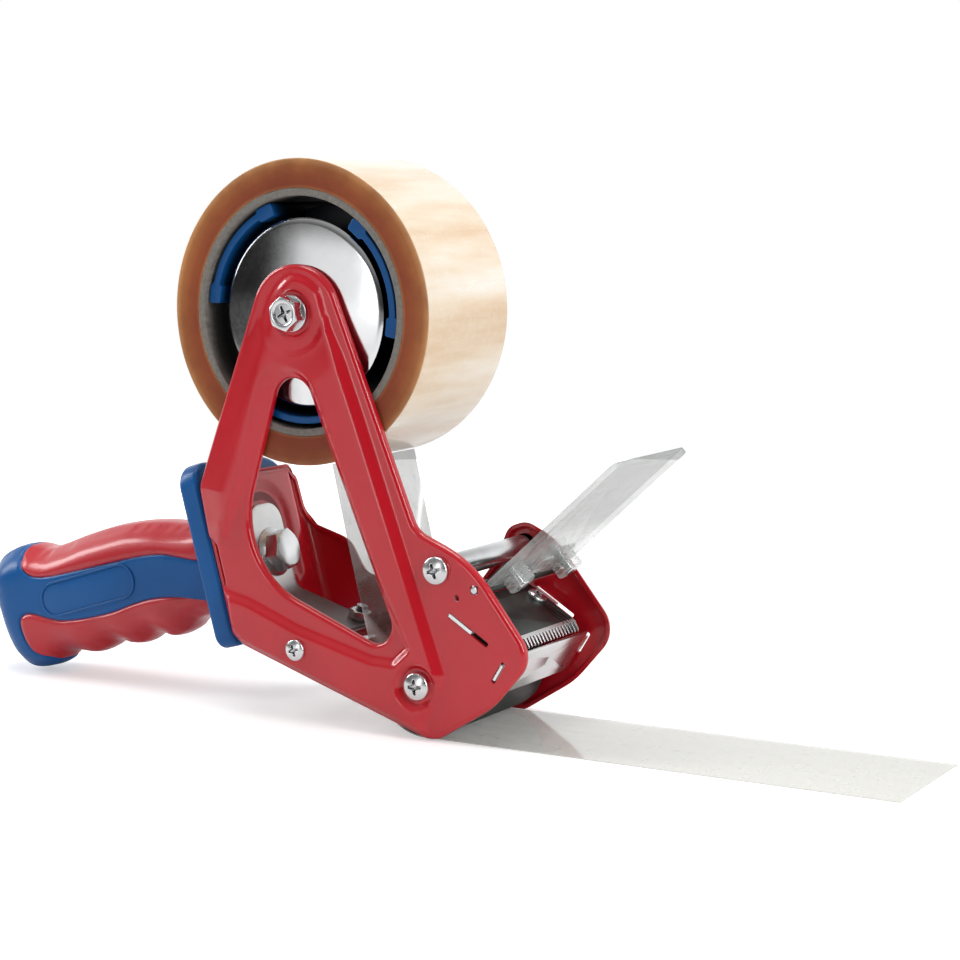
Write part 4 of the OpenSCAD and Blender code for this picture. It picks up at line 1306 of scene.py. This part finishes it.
def region(line, side):
    """The part of the grip's side view above or below a band line."""
    whole, curve = grip_line(GRIP, True), grip_line(line)
    start, stop = closest(whole, curve[0]), closest(whole, curve[-1])
    curve = curve[inside(curve, whole) & (distance(curve, whole) > 0.3)]
    paths = sorted((walked(whole, stop, start), walked(whole, start, stop)[::-1]),
                   key=lambda w: np.mean([p[1] for p in w]) * side)
    return np.vstack([curve, paths[-1]]), curve


def grip():
    top, top_line = region(BAND_TOP, 1)
    bottom, low_line = region(BAND_LOW, -1)
    grip_surface("grip_top", "inlay", top, "red_grip", 0.5, top_line)
    grip_surface("grip_bottom", "inlay", bottom, "red_grip", 0.5, low_line)
    whole = grip_line(GRIP, True)
    butt = walked(whole, closest(whole, top_line[-1]), closest(whole, low_line[-1]))
    front = walked(whole, closest(whole, low_line[0]), closest(whole, top_line[0]))
    loop = np.vstack([top_line, butt, low_line[::-1], front])
    grip_surface("handle_core", "moulding", loop, "blue_plastic", 0.0)


def handle_guard():
    face = 2 * SHEET + 0.05
    shape = rounded([(-27.8, -28.3, 5), (27.8, -28.3, 5), (27.8, 33.5, 18), (-27.8, 35.6, 8)])
    collar = box_outline(-16.4, -17, 16.4, 17.4, 9)
    solids = [prism(shape, [circle(BOLT_HOLE_R, 40)], face, 10.95, 1.6, WEB_FACE, 5),
              prism(collar, [circle(BOLT_HOLE_R, 40)], 10.5, 13.2, 0.9, WEB_FACE, 4)]
    simple("handle_guard", "moulding", joined(*solids), "blue_plastic")


def badges():
    """A rim and a field on each side of the grip."""
    base = shifted(WEB, 74.5 * GRIP_K, 2, 0) @ Matrix.Rotation(math.radians(-1.5), 4, "Z")
    outer = box_outline(-22.5, -6.5, 22.5, 6.5, 6.45)
    inner = box_outline(-21.6, -5.6, 21.6, 5.6, 5.55)
    field = moved_in(turned_way(inner, True), 0.12)
    solids = []
    for side in (-1, 1):
        solids += [prism(outer, [inner], *sorted((side * 14.4, side * 15.15)), 0.25, base),
                   prism(field, [], *sorted((side * 14.3, side * 14.85)), 0.15, base)]
    piece("handle_badge_pair", joined(*solids), "blue_plastic", "root", "handle_badges")


def handle_bolt():
    axis = turned(WEB, "wvu")
    out = axis @ Matrix.Rotation(math.pi, 4, "X")
    head = hexagon(13, 5.38, 0, shifted(out, 0, 0, 3.22), turn=0.35, chamfer=0.86)
    simple("handle_bolt", "body", joined(head, rod(4, -1.5, 46, 0.5, axis)), "zinc_plate")
    profile = [(4.05, 1.52), (8.4, 1.52), (8.6, 1.7), (8.5, 1.95), (7.2, 2.5), (6.2, 3.2), (4.05, 3.2)]
    simple("handle_washer", "flange", lathe(profile, out, 72, True), "zinc_plate")


# ---- the rest of the CAD nodes, and the stage
def finish_cad_nodes():
    """Inner pieces keep their CAD shape and get their finish."""
    for name, slot in INNER.items():
        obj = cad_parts[name]
        obj.data.materials.clear()
        obj.data.materials.append(MATERIALS[slot]())


INNER = {"roller_axle": "plain_steel", "roller_bushes": "white_plastic", "roller_core": "black_plastic",
         "hub_bush": "white_plastic", "handle_nut": "plain_steel"}


def stage():
    """A round pale table, white like the backdrop behind it."""
    mesh = bpy.data.meshes.new("floor")
    mesh.from_pydata([(x, y, -0.0002) for x, y in circle(0.75)], [], [tuple(range(96))])
    floor = bpy.data.objects.new("floor", mesh)
    bpy.context.scene.collection.objects.link(floor)
    g = Graph("floor_paper")
    reach = g.node("ShaderNodeVectorMath", Vector=g.place)
    reach.operation = "LENGTH"
    seen = g.node("ShaderNodeLightPath").outputs["Is Camera Ray"]
    glow = g.times(seen, g.ramp(reach.outputs["Value"], (0.2, 0.42), (0.6, 1.0)))
    mesh.materials.append(g.finish(Base_Color=g.cloudy(3, 3, 0.76, 0.80), Roughness=0.7,
                                   Normal=g.bump(g.noise(900, 2), 0.03, 0.0002),
                                   Emission_Color=(1, 1, 1, 1), Emission_Strength=glow))


def area_light(name, place, w, h, power):
    """A soft box aimed at the middle of the object."""
    data = bpy.data.lights.new(name, "AREA")
    data.shape, data.size, data.size_y, data.energy = "RECTANGLE", w, h, power
    lamp = bpy.data.objects.new(name, data)
    lamp.location = place
    lamp.rotation_euler = (Vector((0, 0, 0.08)) - Vector(place)).to_track_quat("-Z", "Y").to_euler()
    bpy.context.scene.collection.objects.link(lamp)


def studio():
    """White backdrop behind the object, a dark room on the camera's side, and soft boxes round it."""
    g = Graph("studio", "worlds", "Generated")
    bpy.context.scene.world = g.owner
    halved = g.node("ShaderNodeVectorMath", Vector=g.place)
    halved.operation = "MULTIPLY_ADD"
    halved.inputs[1].default_value = halved.inputs[2].default_value = (0.5, 0.5, 0.5)
    x, y, z = g.separated(halved.outputs[0])
    depth = g.rise(y, 0.425, 0.65)
    room = g.ramp(z, (0.49, 0.2), (0.5, 0.03), (0.65, 0.05), (0.8, 0.25), (1.0, 0.4))
    backdrop = g.ramp(z, (0.45, 0.7), (0.5, 1.2), (0.675, 1.05), (0.9, 0.4))
    wide = g.ramp(x, (0.14, 0.0), (0.24, 1.0), (0.475, 1.0), (0.56, 0.0))
    tall = g.ramp(z, (0.3, 0.5), (0.45, 0.8), (0.61, 0.8), (0.66, 0.0))
    room = g.mix(1.0, room, g.mix(1.0, wide, tall, "MULTIPLY"), "ADD")
    seen = g.node("ShaderNodeLightPath").outputs["Is Camera Ray"]
    light = g.mix(seen, g.mix(depth, room, backdrop), (1, 1, 1))
    g.set(g.tree.nodes["Background"].inputs["Color"], light)
    area_light("key_left", (-1.15, -0.3, 0.62), 0.3, 0.7, 6.4)
    area_light("side_right", (1.1, -0.35, 0.6), 0.25, 0.9, 6.8)
    area_light("top", (-0.1, 0.1, 1.3), 0.9, 0.5, 8.6)
    area_light("front_low", (-0.2, -1.4, 0.3), 0.3, 0.5, 1.1)
    bpy.context.scene.view_settings.view_transform = "Standard"


def camera():
    """The viewing angle, distance and lens, about a point between the roller and the roll."""
    azimuth, elevation, roll, distance_m, lens = 30.72, 7.26, -0.36, 0.74983, 85.9
    target = Vector((6.89, 0, 81.71)) * MM
    a, e = math.radians(azimuth), math.radians(elevation)
    away = Vector((math.sin(a) * math.cos(e), -math.cos(a) * math.cos(e), math.sin(e)))
    data = bpy.data.cameras.new("camera")
    data.lens, data.sensor_width, data.clip_start = lens, 36, 0.01
    cam = bpy.data.objects.new("camera", data)
    cam.location = target + away * distance_m
    turn = (-away).to_track_quat("-Z", "Y").to_matrix().to_4x4() @ Matrix.Rotation(math.radians(roll), 4, "Z")
    cam.matrix_world = Matrix.Translation(cam.location) @ turn
    bpy.context.scene.collection.objects.link(cam)
    bpy.context.scene.camera = cam


for build in (near_side_plate, far_side_plate, fasteners, rods, brace, roller, blade_parts, front_plate, flap,
              axle_parts, pressure_disc, hub_wheel, brake, tape_core, tape_roll, tape_web, grip, handle_guard,
              badges, handle_bolt, finish_cad_nodes, stage, studio, camera):
    build()
